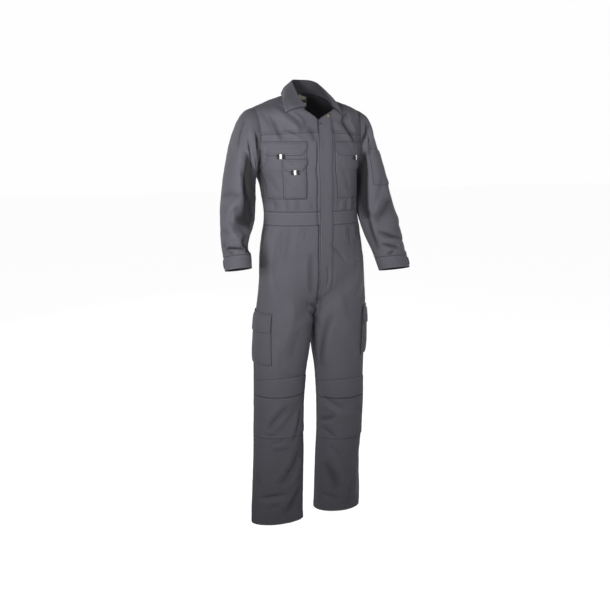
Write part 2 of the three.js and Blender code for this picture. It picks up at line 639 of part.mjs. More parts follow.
// The outer points of a patch. s runs from its left edge to its right one, t from the bottom to the top.
function patchPoint(place, shape, s, t) {
  const { left, right, bottom, top, lift = 0.9, thickness = clothThickness, puff = () => 0 } = shape;
  const spot = place(mix(at(left, t), at(right, t), s), mix(at(bottom, s), at(top, s), t));
  const rise = at(lift, s) + thickness + puff(s, t);
  return { point: spot.point.addScaledVector(spot.normal, rise), normal: spot.normal };
}

// A piece sewn on: its underside follows the place it lies on.
function patch(name, place, shape) {
  const { columns, rows, thickness = clothThickness, puff, colour } = shape;
  const steps = (count) => {
    const [cell, rim] = [1 / count, 0.25 / count];
    return puff ? [0, rim, ...span(cell, 1 - cell, count - 2), 1 - rim, 1] : span(0, 1, count);
  };
  const cells = steps(rows).map((t) => steps(columns).map((s) => patchPoint(place, shape, s, t)));
  const [a, b, c] = [cells[0][0], cells[0].at(-1), cells.at(-1).at(-1)].map((cell) => cell.point);
  const facing = b.clone().sub(a).cross(c.clone().sub(a)).dot(cells[1][1].normal);
  return wall(name, cells, { thickness, flip: facing < 0, own: Boolean(puff), colour });
}

// The outer face of one patch, as a place for the next one.
const over = (place, shape) => (a, b) => {
  const t = clamp((b - at(shape.bottom, 0.5)) / (at(shape.top, 0.5) - at(shape.bottom, 0.5)), 0, 1);
  const s = clamp((a - at(shape.left, t)) / (at(shape.right, t) - at(shape.left, t)), 0, 1);
  const { lift = 0.9, thickness = clothThickness, puff = () => 0 } = shape;
  const spot = place(a, b);
  const rise = at(lift, s) + thickness + puff(s, t);
  return { point: spot.point.addScaledVector(spot.normal, rise), normal: spot.normal };
};

// A flap's lower edge, cut off at both corners.
const clipped = (z, { corner, drop }) => (s) => {
  return z + drop * Math.max(0, 1 - s / corner, 1 - (1 - s) / corner);
};

const black = { color: 0x131315, roughness: 0.8, metalness: 0 };
const white = { color: 0xe6e6e4, roughness: 0.8, metalness: 0 };
const label = { color: 0xc9bfae, roughness: 0.9, metalness: 0 };
const brass = { color: 0x8a775c, roughness: 0.45, metalness: 0.8 };
const steel = { color: 0x58585e, roughness: 0.4, metalness: 0.8 };

// Chest pockets: distances from the centre front round the body, and heights.
const chestPocket = {
  inner: 46,
  outer: 202,
  leftShift: 10, // the left pocket is sewn this much further out
  rightTaper: 9,
  leftTaper: 3,
  clip: { corner: 0.13, drop: 20 },
  flapTop: -130,
  flapBottom: -176,
  bagTop: -150,
  bagBottom: -320,
};
const phonePocket = {
  inner: 48,
  outer: 128,
  innerTaper: 9,
  outerTaper: 6,
  clip: { corner: 0.22, drop: 20 },
  flapTop: -186,
  flapBottom: -223,
  bagTop: -200,
  bagBottom: -317,
};
const pocketFullness = 4;
const tabSize = { width: 25, length: 15, band: 9 };
const tabPlaces = { chestRight: 133, phone: 88, chestLeft: 147 };

// The folded end of a pull tab, black with a white band across it.
function pullTab(name, place, across, z) {
  const tab = {
    left: across - tabSize.width / 2,
    right: across + tabSize.width / 2,
    bottom: z - tabSize.length,
    top: z,
    columns: 3,
    rows: 1,
    thickness: 1.6,
    colour: black,
  };
  patch(name, place, tab);
  patch(`${name}_band`, over(place, tab), {
    ...tab,
    left: across - tabSize.band / 2,
    right: across + tabSize.band / 2,
    columns: 1,
    lift: 0.35,
    thickness: 1,
    colour: white,
  });
}

function chestPockets() {
  for (const { side, tag } of sides) {
    const front = onFront(side);
    const { inner, outer, leftShift, rightTaper, leftTaper, clip } = chestPocket;
    const { flapTop, flapBottom, bagTop, bagBottom } = chestPocket;
    const [shift, taper] = side > 0 ? [leftShift, leftTaper] : [0, rightTaper];
    const bag = {
      left: (t) => inner + shift + taper * (1 - t),
      right: outer,
      bottom: bagBottom,
      top: bagTop,
      columns: 6,
      rows: 7,
      lift: 2.1,
      puff: (s, t) => pocketFullness * pillow(s, t, 0.45),
    };
    patch(`chest_bag_${tag}`, front, bag);
    const onBag = over(front, bag);
    const flap = {
      left: inner + shift,
      right: outer,
      bottom: clipped(flapBottom, clip),
      top: flapTop,
      columns: 11,
      rows: 3,
      lift: 0.9,
      thickness: doubleCloth,
      puff: (s, t) => 1.6 * (1 - t) ** 0.5 * Math.sin(Math.PI * s) ** 0.5,
    };
    patch(`chest_flap_${tag}`, onBag, flap);
    const onFlap = over(onBag, { ...flap, bottom: flapBottom });
    if (side < 0) {
      const phone = phonePocket;
      const phoneBag = {
        left: (t) => phone.inner + phone.innerTaper * (1 - t),
        right: (t) => phone.outer + phone.outerTaper * (1 - t),
        bottom: phone.bagBottom,
        top: phone.bagTop,
        columns: 5,
        rows: 6,
        puff: (s, t) => pocketFullness * pillow(s, t, 0.45),
      };
      patch("phone_bag", onBag, phoneBag);
      const phoneFlap = {
        left: phone.inner - 1,
        right: phone.outer + 1,
        bottom: clipped(phone.flapBottom, phone.clip),
        top: phone.flapTop,
        columns: 9,
        rows: 3,
        lift: 0.9,
        thickness: doubleCloth,
        puff: (s, t) => 2.4 * (1 - t) ** 0.5 * Math.sin(Math.PI * s) ** 0.5,
      };
      const onPhone = over(onBag, phoneBag);
      patch("phone_flap", onPhone, phoneFlap);
      const onPhoneFlap = over(onPhone, { ...phoneFlap, bottom: phone.flapBottom });
      pullTab("pull_tab_1", onFlap, tabPlaces.chestRight, flapBottom + 5);
      pullTab("pull_tab_2", onPhoneFlap, tabPlaces.phone, phone.flapBottom + 4);
    } else pullTab("pull_tab_3", onFlap, tabPlaces.chestLeft, flapBottom + 1);
  }
}

// The fly strip down the front; its edges in millimetres from the middle of the body.
const flyRows = [
  { z: -61, freeEdge: 0, sewnEdge: 53 },
  { z: -225, freeEdge: -5, sewnEdge: 46 },
  { z: -330, freeEdge: -10, sewnEdge: 40 },
  { z: -450, freeEdge: -11, sewnEdge: 38 },
  { z: -680, freeEdge: -9, sewnEdge: 36 },
];
const flyLift = 1.6;
const flySlant = { bottom: 34, top: 24 }; // how much higher the sewn edge ends than the free one
function fly() {
  const [first, last] = [flyRows[0].z, flyRows[flyRows.length - 1].z];
  const edge = (key) => (t) => read(flyRows, "z", key, mix(last, first, t));
  patch("fly", onFly, {
    left: edge("freeEdge"),
    right: edge("sewnEdge"),
    bottom: (s) => last + flySlant.bottom * s,
    top: (s) => first + flySlant.top * s,
    columns: 4,
    rows: 24,
    lift: flyLift,
    thickness: doubleCloth,
  });
}

// The collar, folded over and worn open. Rows run from its front end to the centre back,
// and x is out from the middle. It grows out of the neckline, whose sway its fold follows.
const collarFold = [
  { x: 50, y: -91, z: -16 },
  { x: 56, y: -72, z: 2 },
  { x: 57, y: -50, z: 21 },
  { x: 54, y: -25, z: 41 },
  { x: 50, y: 0, z: 60 },
  { x: 45, y: 22, z: 70 },
  { x: 28, y: 43, z: 77 },
  { x: 0, y: 54, z: 78 },
];
const rightLeafEdge = [
  { x: 108, y: -86, z: -36 },
  { x: 106, y: -72, z: -21 },
  { x: 101, y: -46, z: 2 },
  { x: 91, y: -17, z: 14 },
  { x: 82, y: 10, z: 22 },
  { x: 72, y: 44, z: 31 },
  { x: 46, y: 69, z: 23 },
  { x: 0, y: 81, z: 22 },
];
// The left leaf hangs lower and narrower.
const leftLeafEdge = [
  { x: 108, y: -93, z: -55 },
  { x: 100, y: -90, z: -37 },
  { x: 92, y: -77, z: -16 },
  { x: 86, y: -42, z: 6 },
  { x: 82, y: 6, z: 22 },
  { x: 72, y: 44, z: 31 },
  { x: 46, y: 69, z: 23 },
  { x: 0, y: 81, z: 22 },
];
const collarShape = { shoulderRow: 4, backRow: 7, seamRise: 0.7, hollow: 2.5, foldRound: 3.3, foldTop: 2 };

// The neckline where a row of the collar is sewn to it.
function neckline(side, k) {
  const { shoulderRow, backRow } = collarShape;
  const front = k <= shoulderRow;
  const part = front ? k / shoulderRow : (backRow - k) / (backRow - shoulderRow);
  return torsoPoint(side, front ? 1 : -1, 0, mix(necklineRow, shoulderSeamRow, part));
}

function collar() {
  const { backRow, seamRise, hollow, foldRound, foldTop } = collarShape;
  const value = (table, key, k) => read(table.map((row, i) => ({ ...row, i })), "i", key, k);
  const spot = (table, side, k) => {
    const [x, y, z] = ["x", "y", "z"].map((key) => value(table, key, k));
    return vec(side * x, y, z);
  };
  const steps = [0, 0.5, 1, 1.5, 2, 2.5, 3, 3.5, 4, 4.6, 5.3, 6, 6.6];
  const places = [
    ...steps.map((k) => [-1, k]),
    [1, backRow],
    ...steps.slice().reverse().map((k) => [1, k]),
  ];
  const cells = places.map(([side, k]) => {
    const middle = (neckline(1, k).x + neckline(-1, k).x) / 2;
    const seam = neckline(side, k).add(vec(0, 0, seamRise));
    const fold = spot(collarFold, side, k).add(vec(middle, 0, 0));
    const edge = spot(side < 0 ? rightLeafEdge : leftLeafEdge, side, k);
    const out = edge.clone().sub(seam).setZ(0).normalize();
    const roll = Math.min(1, k / 1.5);
    const rise = out.clone().multiplyScalar(roll).add(vec(0, roll - 1, 0.6)).normalize();
    const points = [
      seam,
      seam.clone().lerp(fold, 0.55).addScaledVector(out, -hollow * roll),
      fold.clone().addScaledVector(out, -foldRound),
      fold.clone().add(vec(0, 0, foldTop)),
      fold.clone().addScaledVector(out, foldRound),
      fold.clone().lerp(edge, 0.5).addScaledVector(rise, 7),
      fold.clone().lerp(edge, 0.8).addScaledVector(rise, 4),
      edge,
    ];
    return points.map((p) => ({ point: p, normal: p }));
  });
  wall("collar", cells, { thickness: doubleCloth, flip: true, own: true });
}

// Cargo pockets: distances from the side seam round the thigh, + towards the front.
const cargoPocket = {
  frontEdge: 72,
  backEdge: -112,
  taper: 10,
  rightFullness: 5, // the right pocket hangs flat and the left one stands off
  leftFullness: 10,
  flapTop: -714,
  flapBottom: -781,
  bagTop: -726,
  bagBottom: -896,
};
// Knee pieces: the heights of the band's top, the pocket's opening and the lower seam on each leg.
const kneePieces = {
  right: { bandTop: -940, opening: -1012, bottom: -1163, standOff: 1.4 },
  left: { bandTop: -976, opening: -1054, bottom: -1212, standOff: 2.6 },
};
const kneeDip = 22; // how much lower the band's top is at the seams
// Across the sleeve, in degrees from its top line, and along it in rings.
const cuffTab = { top: 12.2, bottom: 12.78, right: [-104, -8], left: [-62, 34] };
// The pen pocket's edges are level while the rings are not, so they bend down towards its inner edge.
const penPocket = {
  outerTurn: 25,
  innerTurn: { top: 98, bottom: 109 },
  outerRing: { top: 4.41, bottom: 6.78 },
  innerRing: { top: 1.8, bottom: 5.88 },
};

function limbPieces() {
  for (const { side, tag } of sides) {
    const thigh = onLeg(side);
    const { frontEdge, backEdge, taper, rightFullness, leftFullness } = cargoPocket;
    const { flapTop, flapBottom, bagTop, bagBottom } = cargoPocket;
    const edges = { left: backEdge, right: (t) => frontEdge + taper * (1 - t) };
    const depth = side < 0 ? rightFullness : leftFullness;
    const bag = {
      ...edges,
      bottom: bagBottom,
      top: bagTop,
      columns: 7,
      rows: 6,
      lift: 1.2,
      puff: (s, t) => depth * pillow(s, t, 0.3),
    };
    patch(`cargo_bag_${tag}`, thigh, bag);
    patch(`cargo_flap_${tag}`, over(thigh, bag), {
      left: backEdge,
      right: frontEdge + 1,
      bottom: flapBottom,
      top: flapTop,
      columns: 7,
      rows: 4,
      lift: 1,
      thickness: doubleCloth,
      puff: (s, t) => 0.2 * depth * Math.sqrt(1 - t) * Math.sin(Math.PI * s) ** 0.5,
    });
    const knee = kneePieces[tag];
    const off = (s) => knee.standOff * Math.sin(Math.PI * s);
    const edge = { left: 3, right: 177, columns: 9, lift: (s) => 0.9 + off(s) };
    patch(`knee_band_${tag}`, leg(side), {
      ...edge,
      bottom: knee.opening + 2,
      top: (s) => knee.bandTop - kneeDip * (2 * s - 1) ** 2,
      rows: 3,
      lift: (s) => 0.6 + 0.5 * off(s),
    });
    patch(`knee_pocket_${tag}`, leg(side), { ...edge, bottom: knee.bottom, top: knee.opening, rows: 5 });
    patch(`cuff_tab_${tag}`, sleeve(side), {
      left: cuffTab[tag][0],
      right: cuffTab[tag][1],
      bottom: cuffTab.bottom,
      top: cuffTab.top,
      columns: 7,
      rows: 1,
      lift: 1.2,
      thickness: doubleCloth,
    });
  }
  const { outerTurn, innerTurn, outerRing, innerRing } = penPocket;
  const penEdge = (key) => (s) => mix(outerRing[key], innerRing[key], s * s);
  patch("sleeve_pocket", sleeve(1), {
    left: outerTurn,
    right: (t) => mix(innerTurn.bottom, innerTurn.top, t),
    bottom: penEdge("bottom"),
    top: penEdge("top"),
    columns: 6,
    rows: 5,
    lift: 2.8,
    puff: (s, t) => 2.5 * pillow(s, t, 0.4),
  });
}

// A press stud: a dished cap turned about its own axis and set on the cloth.
function stud(name, spot, radius, colour, lift) {
  const profile = [
    [0, 0],
    [radius, 0],
    [radius, 1.1],
    [radius * 0.84, 1.9],
    [radius * 0.66, 1.3],
    [0, 1.3],
  ];
  const geometry = new THREE.LatheGeometry(profile.map(([x, y]) => new THREE.Vector2(x, y)), 14);
  const turn = new THREE.Quaternion().setFromUnitVectors(vec(0, 1, 0), spot.normal);
  geometry.applyQuaternion(turn);
  const place = spot.point.clone().addScaledVector(spot.normal, lift);
  geometry.translate(place.x, place.y, place.z);
  piece(name, geometry, colour);
}

// Small pieces at the neck: two studs on the fly, and two plain labels inside the back.
const topStud = { x: 9, z: -76, radius: 6, clearance: 0.5 };
const cornerStud = { x: 42, z: -46, radius: 4.5, clearance: 0.7 };
const labelThickness = 0.8;
const neckLabel = { left: -28, right: 30, bottom: 15, top: 29, clearance: 1.3, columns: 4, rows: 2 };
const careLabel = { left: 14, right: 36, bottom: -18, top: 11, clearance: 1.3, columns: 2, rows: 2 };
function neckPieces() {
  const studs = { snap_top: [topStud, steel], snap_neck: [cornerStud, brass] };
  for (const [name, [{ x, z, radius, clearance }, metal]] of Object.entries(studs)) {
    stud(name, onFly(x, z), radius, metal, flyLift + doubleCloth + clearance);
  }
  const insideBack = (x, z) => {
    const side = x < 0 ? -1 : 1;
    const v = solve((t) => torsoPoint(side, -1, 0.1, t).z, z, 1, 7);
    const u = solve((t) => side * torsoPoint(side, -1, t, v).x, Math.abs(x), 0, 1);
    const spot = torso(side, -1)(u, v);
    return { point: spot.point, normal: spot.normal.clone().negate() };
  };
  const labels = { neck_label: [neckLabel, label], care_label: [careLabel, white] };
  for (const [name, [shape, colour]] of Object.entries(labels)) {
    const lift = clothThickness + shape.clearance;
    patch(name, insideBack, { ...shape, lift, thickness: labelThickness, colour });
  }
}

const suitPieces = [upperBody, waistband, legs, sleeves, fly, chestPockets, collar, limbPieces, neckPieces];
for (const build of suitPieces) build();

export default suit;
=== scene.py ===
import bmesh
import bpy
import numpy as np
from mathutils import Matrix, Vector


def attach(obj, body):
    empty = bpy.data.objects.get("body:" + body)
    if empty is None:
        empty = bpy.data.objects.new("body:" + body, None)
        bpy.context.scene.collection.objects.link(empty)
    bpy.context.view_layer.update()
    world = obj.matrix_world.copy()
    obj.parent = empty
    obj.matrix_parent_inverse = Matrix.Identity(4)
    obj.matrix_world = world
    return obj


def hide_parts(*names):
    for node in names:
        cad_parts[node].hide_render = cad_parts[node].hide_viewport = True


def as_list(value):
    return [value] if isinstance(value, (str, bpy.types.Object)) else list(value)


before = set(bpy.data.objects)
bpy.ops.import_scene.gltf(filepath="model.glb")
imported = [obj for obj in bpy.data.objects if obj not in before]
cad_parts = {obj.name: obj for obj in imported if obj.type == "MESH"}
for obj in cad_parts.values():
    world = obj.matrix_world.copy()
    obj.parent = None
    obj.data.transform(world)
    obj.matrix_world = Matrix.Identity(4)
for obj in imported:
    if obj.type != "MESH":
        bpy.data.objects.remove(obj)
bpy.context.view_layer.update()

print("boiler suit: frame loaded")

# Sizes in millimetres, until a mesh is made
suit = {
    "waistTop": -365, "waistBottom": -410, "underarm": -225,
    "riseStart": -560, "crotch": -745, "hem": -1515,
    "shoulderX": 193, "shoulderZ": -20,
    "armholeX": 188, "armholeFront": 62, "armholeBack": 70, "armholeHollow": 7,
    "cell": 4.8,          # how fine the cloth is
    "cloth": 1.1,         # one layer
    "double": 1.9,        # collar, cuffs, flaps and placket
    "girth": 245,         # quarter of the body, for placing folds
    "legRadius": 92, "sleeveRadius": 62,
}


def tableOf(names, *rows):
    return {name: np.array(column, float) for name, column in zip(names.split(), zip(*rows))}


bodySections = tableOf(
    "z shift halfWidth front back",
    (-225, 0, 188, 130, 128), (-260, 8, 178, 126, 122), (-300, 14, 175, 118, 113),
    (-365, 22, 174, 103, 99), (-405, 25, 178, 101, 101), (-450, 26, 186, 98, 113),
    (-520, 28, 196, 95, 127), (-616, 31, 202, 92, 132), (-690, 28, 207, 90, 124),
    (-745, 21, 209, 88, 112),
)
frontRows = tableOf(
    "row armhole x sway y z turn rise",
    (1, 180, 0, 0, -130, -225, 90, 0), (2, 155, 0, 0, -131, -210, 84, 0),
    (3, 130, 0, 0, -130, -180, 76, 0), (4, 105, 0, 0, -125, -140, 68, 0),
    (5, 82, 0, 1, -115, -98, 60, 0), (6, 62, 1, 5, -102, -59, 52, 2),
    (7, 44, 50, 13, -86, -25, 44, 6), (8, 22, 64, 8, -50, -1, 36, 8),
    (9, 0, 76, 3, 0, 17, 30, 6),
)
backRows = tableOf(
    "row armhole x sway y z turn rise",
    (1, 180, 0, 0, 128, -225, 90, 0), (2, 155, 0, 0, 130, -200, 84, 0),
    (3, 130, 0, 0, 131, -160, 76, 0), (4, 105, 0, 0, 127, -112, 68, 0),
    (5, 82, 0, 1, 115, -60, 60, 0), (6, 62, 0, 2, 93, -12, 52, 2),
    (7, 44, 0, 3, 58, 33, 44, 6), (8, 22, 46, 3, 41, 33, 36, 8),
    (9, 0, 76, 3, 0, 17, 30, 6),
)
rightLeg = tableOf(
    "z x y halfWidth front back",
    (-560, -67, 0, 97, 92, 118), (-690, -76, -3, 104, 90, 105), (-745, -84, -8, 104.5, 87, 96),
    (-860, -98, -16, 103, 83, 86), (-940, -107, -20, 97, 82, 80), (-1040, -114, -24, 92, 82, 76),
    (-1130, -117, -27, 93, 77, 74), (-1220, -118, -30, 95, 72, 68), (-1310, -121, -33, 97, 64, 62),
    (-1440, -126, -36, 100, 51, 54), (-1515, -127, -37, 101, 45, 50),
)
leftLeg = tableOf(
    "z x y halfWidth front back",
    (-560, 125, 0, 97, 92, 118), (-690, 132, 0, 104, 90, 105), (-745, 126.5, -1, 105, 87, 96),
    (-860, 130, -2, 102, 84, 86), (-950, 135, -3, 94, 82, 80), (-1030, 138, -4, 91, 81, 77),
    (-1120, 138, -4, 89, 78, 75), (-1220, 136, -5, 88, 74, 72), (-1320, 130, -5, 87, 71, 69),
    (-1420, 129, -5, 89, 67, 65), (-1515, 130, -5, 94, 61, 60),
)
rightSleeve = tableOf(
    "outX outZ inX inZ y half tilt",
    (218, -31, 189, -232, 0, 70, 0), (240, -57, 190, -241, -2, 74, 0),
    (257, -93, 190, -253, -4, 77, 0), (271, -133, 191, -268, -7, 78, 1),
    (284, -177, 192, -288, -11, 77, 2), (297, -228, 193, -314, -18, 75, 5),
    (310, -288, 197, -347, -28, 72, 9), (321, -345, 204, -384, -43, 68, 13),
    (327, -395, 220, -416, -60, 63, 15), (332, -440, 238, -449, -77, 57, 16),
    (333, -478, 246, -480, -91, 51, 16), (332, -502, 240, -500, -101, 48, 15),
    (333, -544, 243, -542, -117, 46, 15),
)
leftSleeve = tableOf(
    "outX outZ inX inZ y half tilt",
    (214, -31, 189, -232, 0, 70, 0), (232, -57, 190, -241, -2, 74, 0),
    (247, -93, 190, -253, -4, 77, 0), (261, -135, 191, -269, -7, 78, 1),
    (275, -180, 191, -290, -12, 77, 2), (290, -232, 192, -318, -19, 75, 5),
    (306, -294, 194, -356, -30, 72, 9), (319, -354, 198, -397, -45, 69, 13),
    (331, -412, 204, -435, -64, 64, 15), (339, -462, 212, -472, -83, 59, 16),
    (343, -502, 221, -505, -99, 54, 16), (347, -534, 227, -534, -112, 51, 15),
    (350, -574, 236, -575, -128, 49, 15),
)

# The fly strip's edges, from the middle of the body.
flyRows = tableOf(
    "z freeEdge sewnEdge",
    (-61, 0, 53), (-225, -5, 46), (-330, -10, 40), (-450, -11, 38), (-680, -9, 36),
)

# Folds: a line from one place to another on the unrolled cloth, its width and its height,
# negative for a trough; lean makes one flank steeper, bow bends the line sideways.
foldNames = "across down toAcross toDown width height lean bow"
frontFolds = tableOf(
    foldNames,
    (-150, -20, -70, -100, 15, 5, 0, 0), (-110, 0, -55, -95, 11, -4, 0, 0),
    (-190, -60, -120, -125, 14, -4, 0, 0), (60, -60, 165, -140, 15, 5, 0, 0),
    (100, -30, 175, -110, 14, -4, 0, 0), (-215, -300, -150, -362, 13, -3, 0, 0),
    (-110, -300, -104, -364, 9, 3, 0, 0), (120, -315, 112, -364, 9, 3, 0, 0),
)
backFolds = tableOf(
    foldNames,
    (-150, -60, -80, -200, 22, 5, 0, 0), (150, -60, 85, -200, 22, 5, 0, 0),
    (-120, -290, -112, -364, 12, 4, 0, 0), (-40, -280, -44, -364, 12, 4, 0, 0),
    (40, -285, 42, -364, 12, 4, 0, 0), (120, -290, 114, -364, 12, 4, 0, 0),
)
rightLegFolds = tableOf(
    foldNames,
    (60, -420, 85, -700, 28, 5, 0, 0), (130, -430, 120, -640, 26, -4, 0, 0),
    (235, -690, 120, -760, 24, -4, 0, 0), (200, -1040, 90, -1180, 26, -5, 0, 0),
    (230, -1060, 150, -1290, 26, 5, 0, 0), (220, -1260, 120, -1470, 28, 5, 0, 0),
    (40, -1380, 190, -1400, 24, -4, 0, 0), (-60, -620, -150, -760, 28, -6, 0, 0),
    (-60, -1020, -210, -1080, 26, -6, 0, 0), (-50, -1110, -200, -1120, 24, 5, 0, 0),
)
leftLegFolds = tableOf(
    foldNames,
    (70, -420, 110, -560, 26, -4, 0, 0), (60, -520, 190, -700, 28, 5, 0, 0),
    (210, -720, 110, -900, 26, -5, 0, 0), (210, -1040, 70, -1110, 24, -5, 0, 0),
    (210, -1130, 60, -1090, 22, 4, 0, 0), (210, -1250, 90, -1460, 30, 5, 0, 0),
    (15, -1380, 10, -1500, 20, 5, 0, 0), (-60, -620, -150, -760, 28, -6, 0, 0),
    (-60, -1030, -210, -1070, 26, -6, 0, 0), (-50, -1120, -200, -1110, 24, 5, 0, 0),
)
rightSleeveFolds = tableOf(
    foldNames,
    (40, 60, 125, 150, 13, -6, 0, 0), (75, 40, 150, 110, 12, 6, 0, 0),
    (60, 190, 165, 330, 17, -9, 0, 0), (40, 330, 165, 250, 15, 6, 0, 0),
    (35, 345, 150, 400, 13, -7, 0, 0), (10, 425, 150, 420, 9, -7, 0, 0),
    (0, 450, 160, 447, 9, 6, 0, 0), (-150, 270, -40, 330, 15, -7, 0, 0),
    (-150, 380, -30, 400, 13, -6, 0, 0),
)
leftSleeveFolds = tableOf(
    foldNames,
    (40, 10, 110, 110, 12, -7, 0, 0), (15, 40, 90, 130, 13, 6, 0, 0),
    (60, 230, 150, 330, 18, -8, 0, 0), (20, 360, 150, 330, 15, 6, 0, 0),
    (30, 395, 150, 400, 11, -5, 0, 0), (20, 440, 130, 436, 10, -5, 0, 0),
    (-150, 280, -40, 330, 15, -7, 0, 0), (-150, 390, -30, 410, 13, -6, 0, 0),
)
# Smaller and sharper creases that lie on those folds.
frontCreases = tableOf(
    foldNames,
    (-206, -140, -207, -340, 12, -6, 0, 0), (206, -140, 207, -340, 12, -6, 0, 0),
    (-186, -44, -140, -128, 8, -5, 0.3, 4), (-168, -46, -76, -94, 8, 4, 0.2, -6),
    (-142, -86, -80, -108, 5, -3, 0.3, 0), (-136, -98, -58, -127, 6, 3, 0.2, -3),
    (-214, -34, -176, -112, 7, -3.5, 0.2, 3), (-205, -70, -150, -128, 9, 2.5, 0, 3),
    (-56, -30, -52, -88, 9, -4.5, 0.2, -3), (-40, -74, -14, -128, 9, -4, -0.2, 0),
    (104, -34, 176, -128, 10, -6.5, 0.3, 6), (84, -40, 150, -124, 9, 3.5, 0, 5),
    (150, -50, 196, -96, 7, 4, 0, 0), (64, -50, 68, -126, 6, -3, 0, 0),
    (-125, -188, -100, -207, 4, -1.8, 0.3, 2), (-96, -188, -76, -212, 4, -1.8, 0.2, 2),
    (-112, -222, -92, -196, 4, 1.6, 0, 0), (-120, -226, -78, -310, 8, -2, 0.2, 5),
    (-186, -214, -140, -300, 10, -2, 0.2, 6), (-150, -216, -132, -312, 7, 1.6, 0, 3),
    (70, -196, 120, -300, 10, -2, 0, 6), (-170, -322, -166, -364, 5, -2.6, 0.2, 0),
    (-140, -326, -134, -364, 5, 2, 0, 0), (-118, -322, -116, -364, 4, -2.4, 0, 0),
    (-96, -318, -96, -364, 5, 2.6, 0, 0), (-80, -320, -78, -364, 5, -2.4, 0, 2),
    (-58, -322, -56, -364, 4, 1.8, 0, 0), (-36, -330, -34, -364, 5, -2, 0, 0),
    (58, -326, 56, -364, 4, -1.8, 0, 0), (78, -326, 74, -364, 5, 2, 0, 0),
    (98, -322, 94, -364, 5, -2.2, 0, 0), (122, -324, 118, -364, 5, 2, 0, 0),
    (150, -322, 146, -364, 5, -2.4, 0.2, 0), (176, -318, 168, -364, 6, 2.2, 0, 0),
)
backCreases = tableOf(
    foldNames,
    (-185, -90, -110, -190, 9, -4.5, 0.3, 6), (185, -90, 110, -190, 9, -4.5, -0.3, -6),
    (-196, -130, -130, -230, 10, 3.5, 0.2, 6), (196, -130, 130, -230, 10, 3.5, -0.2, -6),
    (-60, -20, -20, -120, 12, 2.4, 0, 5), (55, -25, 30, -130, 12, -2.4, 0, 4),
    (-90, -220, -60, -340, 10, -3, 0.2, 5), (96, -210, 66, -340, 10, -3, -0.2, -5),
    (-150, -310, -140, -364, 6, -2.8, 0, 0), (-112, -306, -108, -364, 6, 2.4, 0, 0),
    (-84, -305, -80, -364, 6, -2.8, 0, 0), (-40, -306, -38, -364, 6, 2.2, 0, 0),
    (0, -300, 0, -364, 7, -2.8, 0, 0), (40, -306, 38, -364, 6, 2.2, 0, 0),
    (80, -305, 78, -364, 6, -2.8, 0, 0), (152, -310, 146, -364, 6, -2.8, 0, 0),
)
rightLegCreases = tableOf(
    foldNames,
    (103, -405, 96, -640, 15, 5, 0.5, 0), (162, -412, 157, -540, 9, -3, 0.2, 0),
    (130, -412, 134, -520, 7, -2, 0, 3), (196, -412, 192, -520, 8, 2.2, 0.2, 3),
    (226, -412, 222, -470, 5, -2, 0, 0), (48, -412, 52, -500, 7, 2, 0, 0),
    (16, -412, 20, -480, 7, -2, 0, 0), (252, -505, 250, -656, 9, -6, 0.2, 3),
    (236, -520, 228, -640, 9, 2.5, 0, 3), (216, -684, 286, -704, 6, -6, 0.3, 3),
    (222, -700, 282, -722, 6, 5, 0, 3), (226, -716, 286, -748, 6, -5, 0.3, 3),
    (204, -720, 262, -770, 8, 3, 0, 4), (151, -656, 117, -850, 22, 5, 0.4, -6),
    (104, -800, 98, -932, 16, 3.5, 0.4, 0), (176, -760, 150, -880, 14, -3, 0, 6),
    (120, -930, 210, -944, 6, -2.4, 0.2, 0), (74, -1130, 150, -1042, 9, -6, 0.3, -4),
    (64, -1100, 128, -1034, 9, 3, 0, -3), (98, -1140, 168, -1066, 8, 3.5, 0, -4),
    (168, -1188, 209, -1066, 7, -7, 0.3, 4), (152, -1176, 190, -1074, 8, 3, 0, 4),
    (62, -1146, 112, -1149, 5, -3.5, 0.3, 2), (90, -1179, 140, -1169, 5, -4, 0.3, 2),
    (92, -1195, 150, -1190, 6, 2.5, 0, 0), (92, -1210, 162, -1206, 5, -4, 0.3, 0),
    (130, -1345, 199, -1226, 12, -7, 0.3, 6), (106, -1330, 168, -1226, 10, 3.5, 0, 5),
    (160, -1362, 222, -1262, 9, 3.5, 0, 4), (56, -1394, 156, -1382, 7, -6.5, 0.4, 3),
    (60, -1412, 150, -1404, 8, 3.5, 0, 3), (152, -1462, 214, -1372, 11, -8, 0.3, 5),
    (140, -1432, 204, -1346, 9, 4, 0, 4), (150, -1476, 202, -1432, 8, -4, 0.2, 0),
    (96, -1440, 132, -1424, 8, -3, 0.2, 0), (30, -1300, 60, -1360, 12, -2.5, 0, 4),
    (-80, -412, -74, -500, 8, 2.4, 0, 0), (-150, -412, -150, -480, 8, -2.4, 0, 0),
    (-220, -412, -210, -490, 8, 2.4, 0, 0), (-90, -680, -190, -745, 9, -5, 0.3, 6),
    (-80, -720, -180, -792, 9, 3.5, 0, 6), (-80, -1050, -190, -1075, 8, -5, 0.4, 4),
    (-70, -1090, -180, -1098, 8, 4, 0, -4), (-90, -1124, -200, -1136, 8, -4.5, 0.3, 4),
    (-60, -1180, -160, -1260, 10, -4, 0.2, 5), (-60, -1300, -190, -1370, 10, -3.5, 0.2, 5),
    (-100, -1400, -220, -1430, 9, -4.5, 0.2, 4),
)
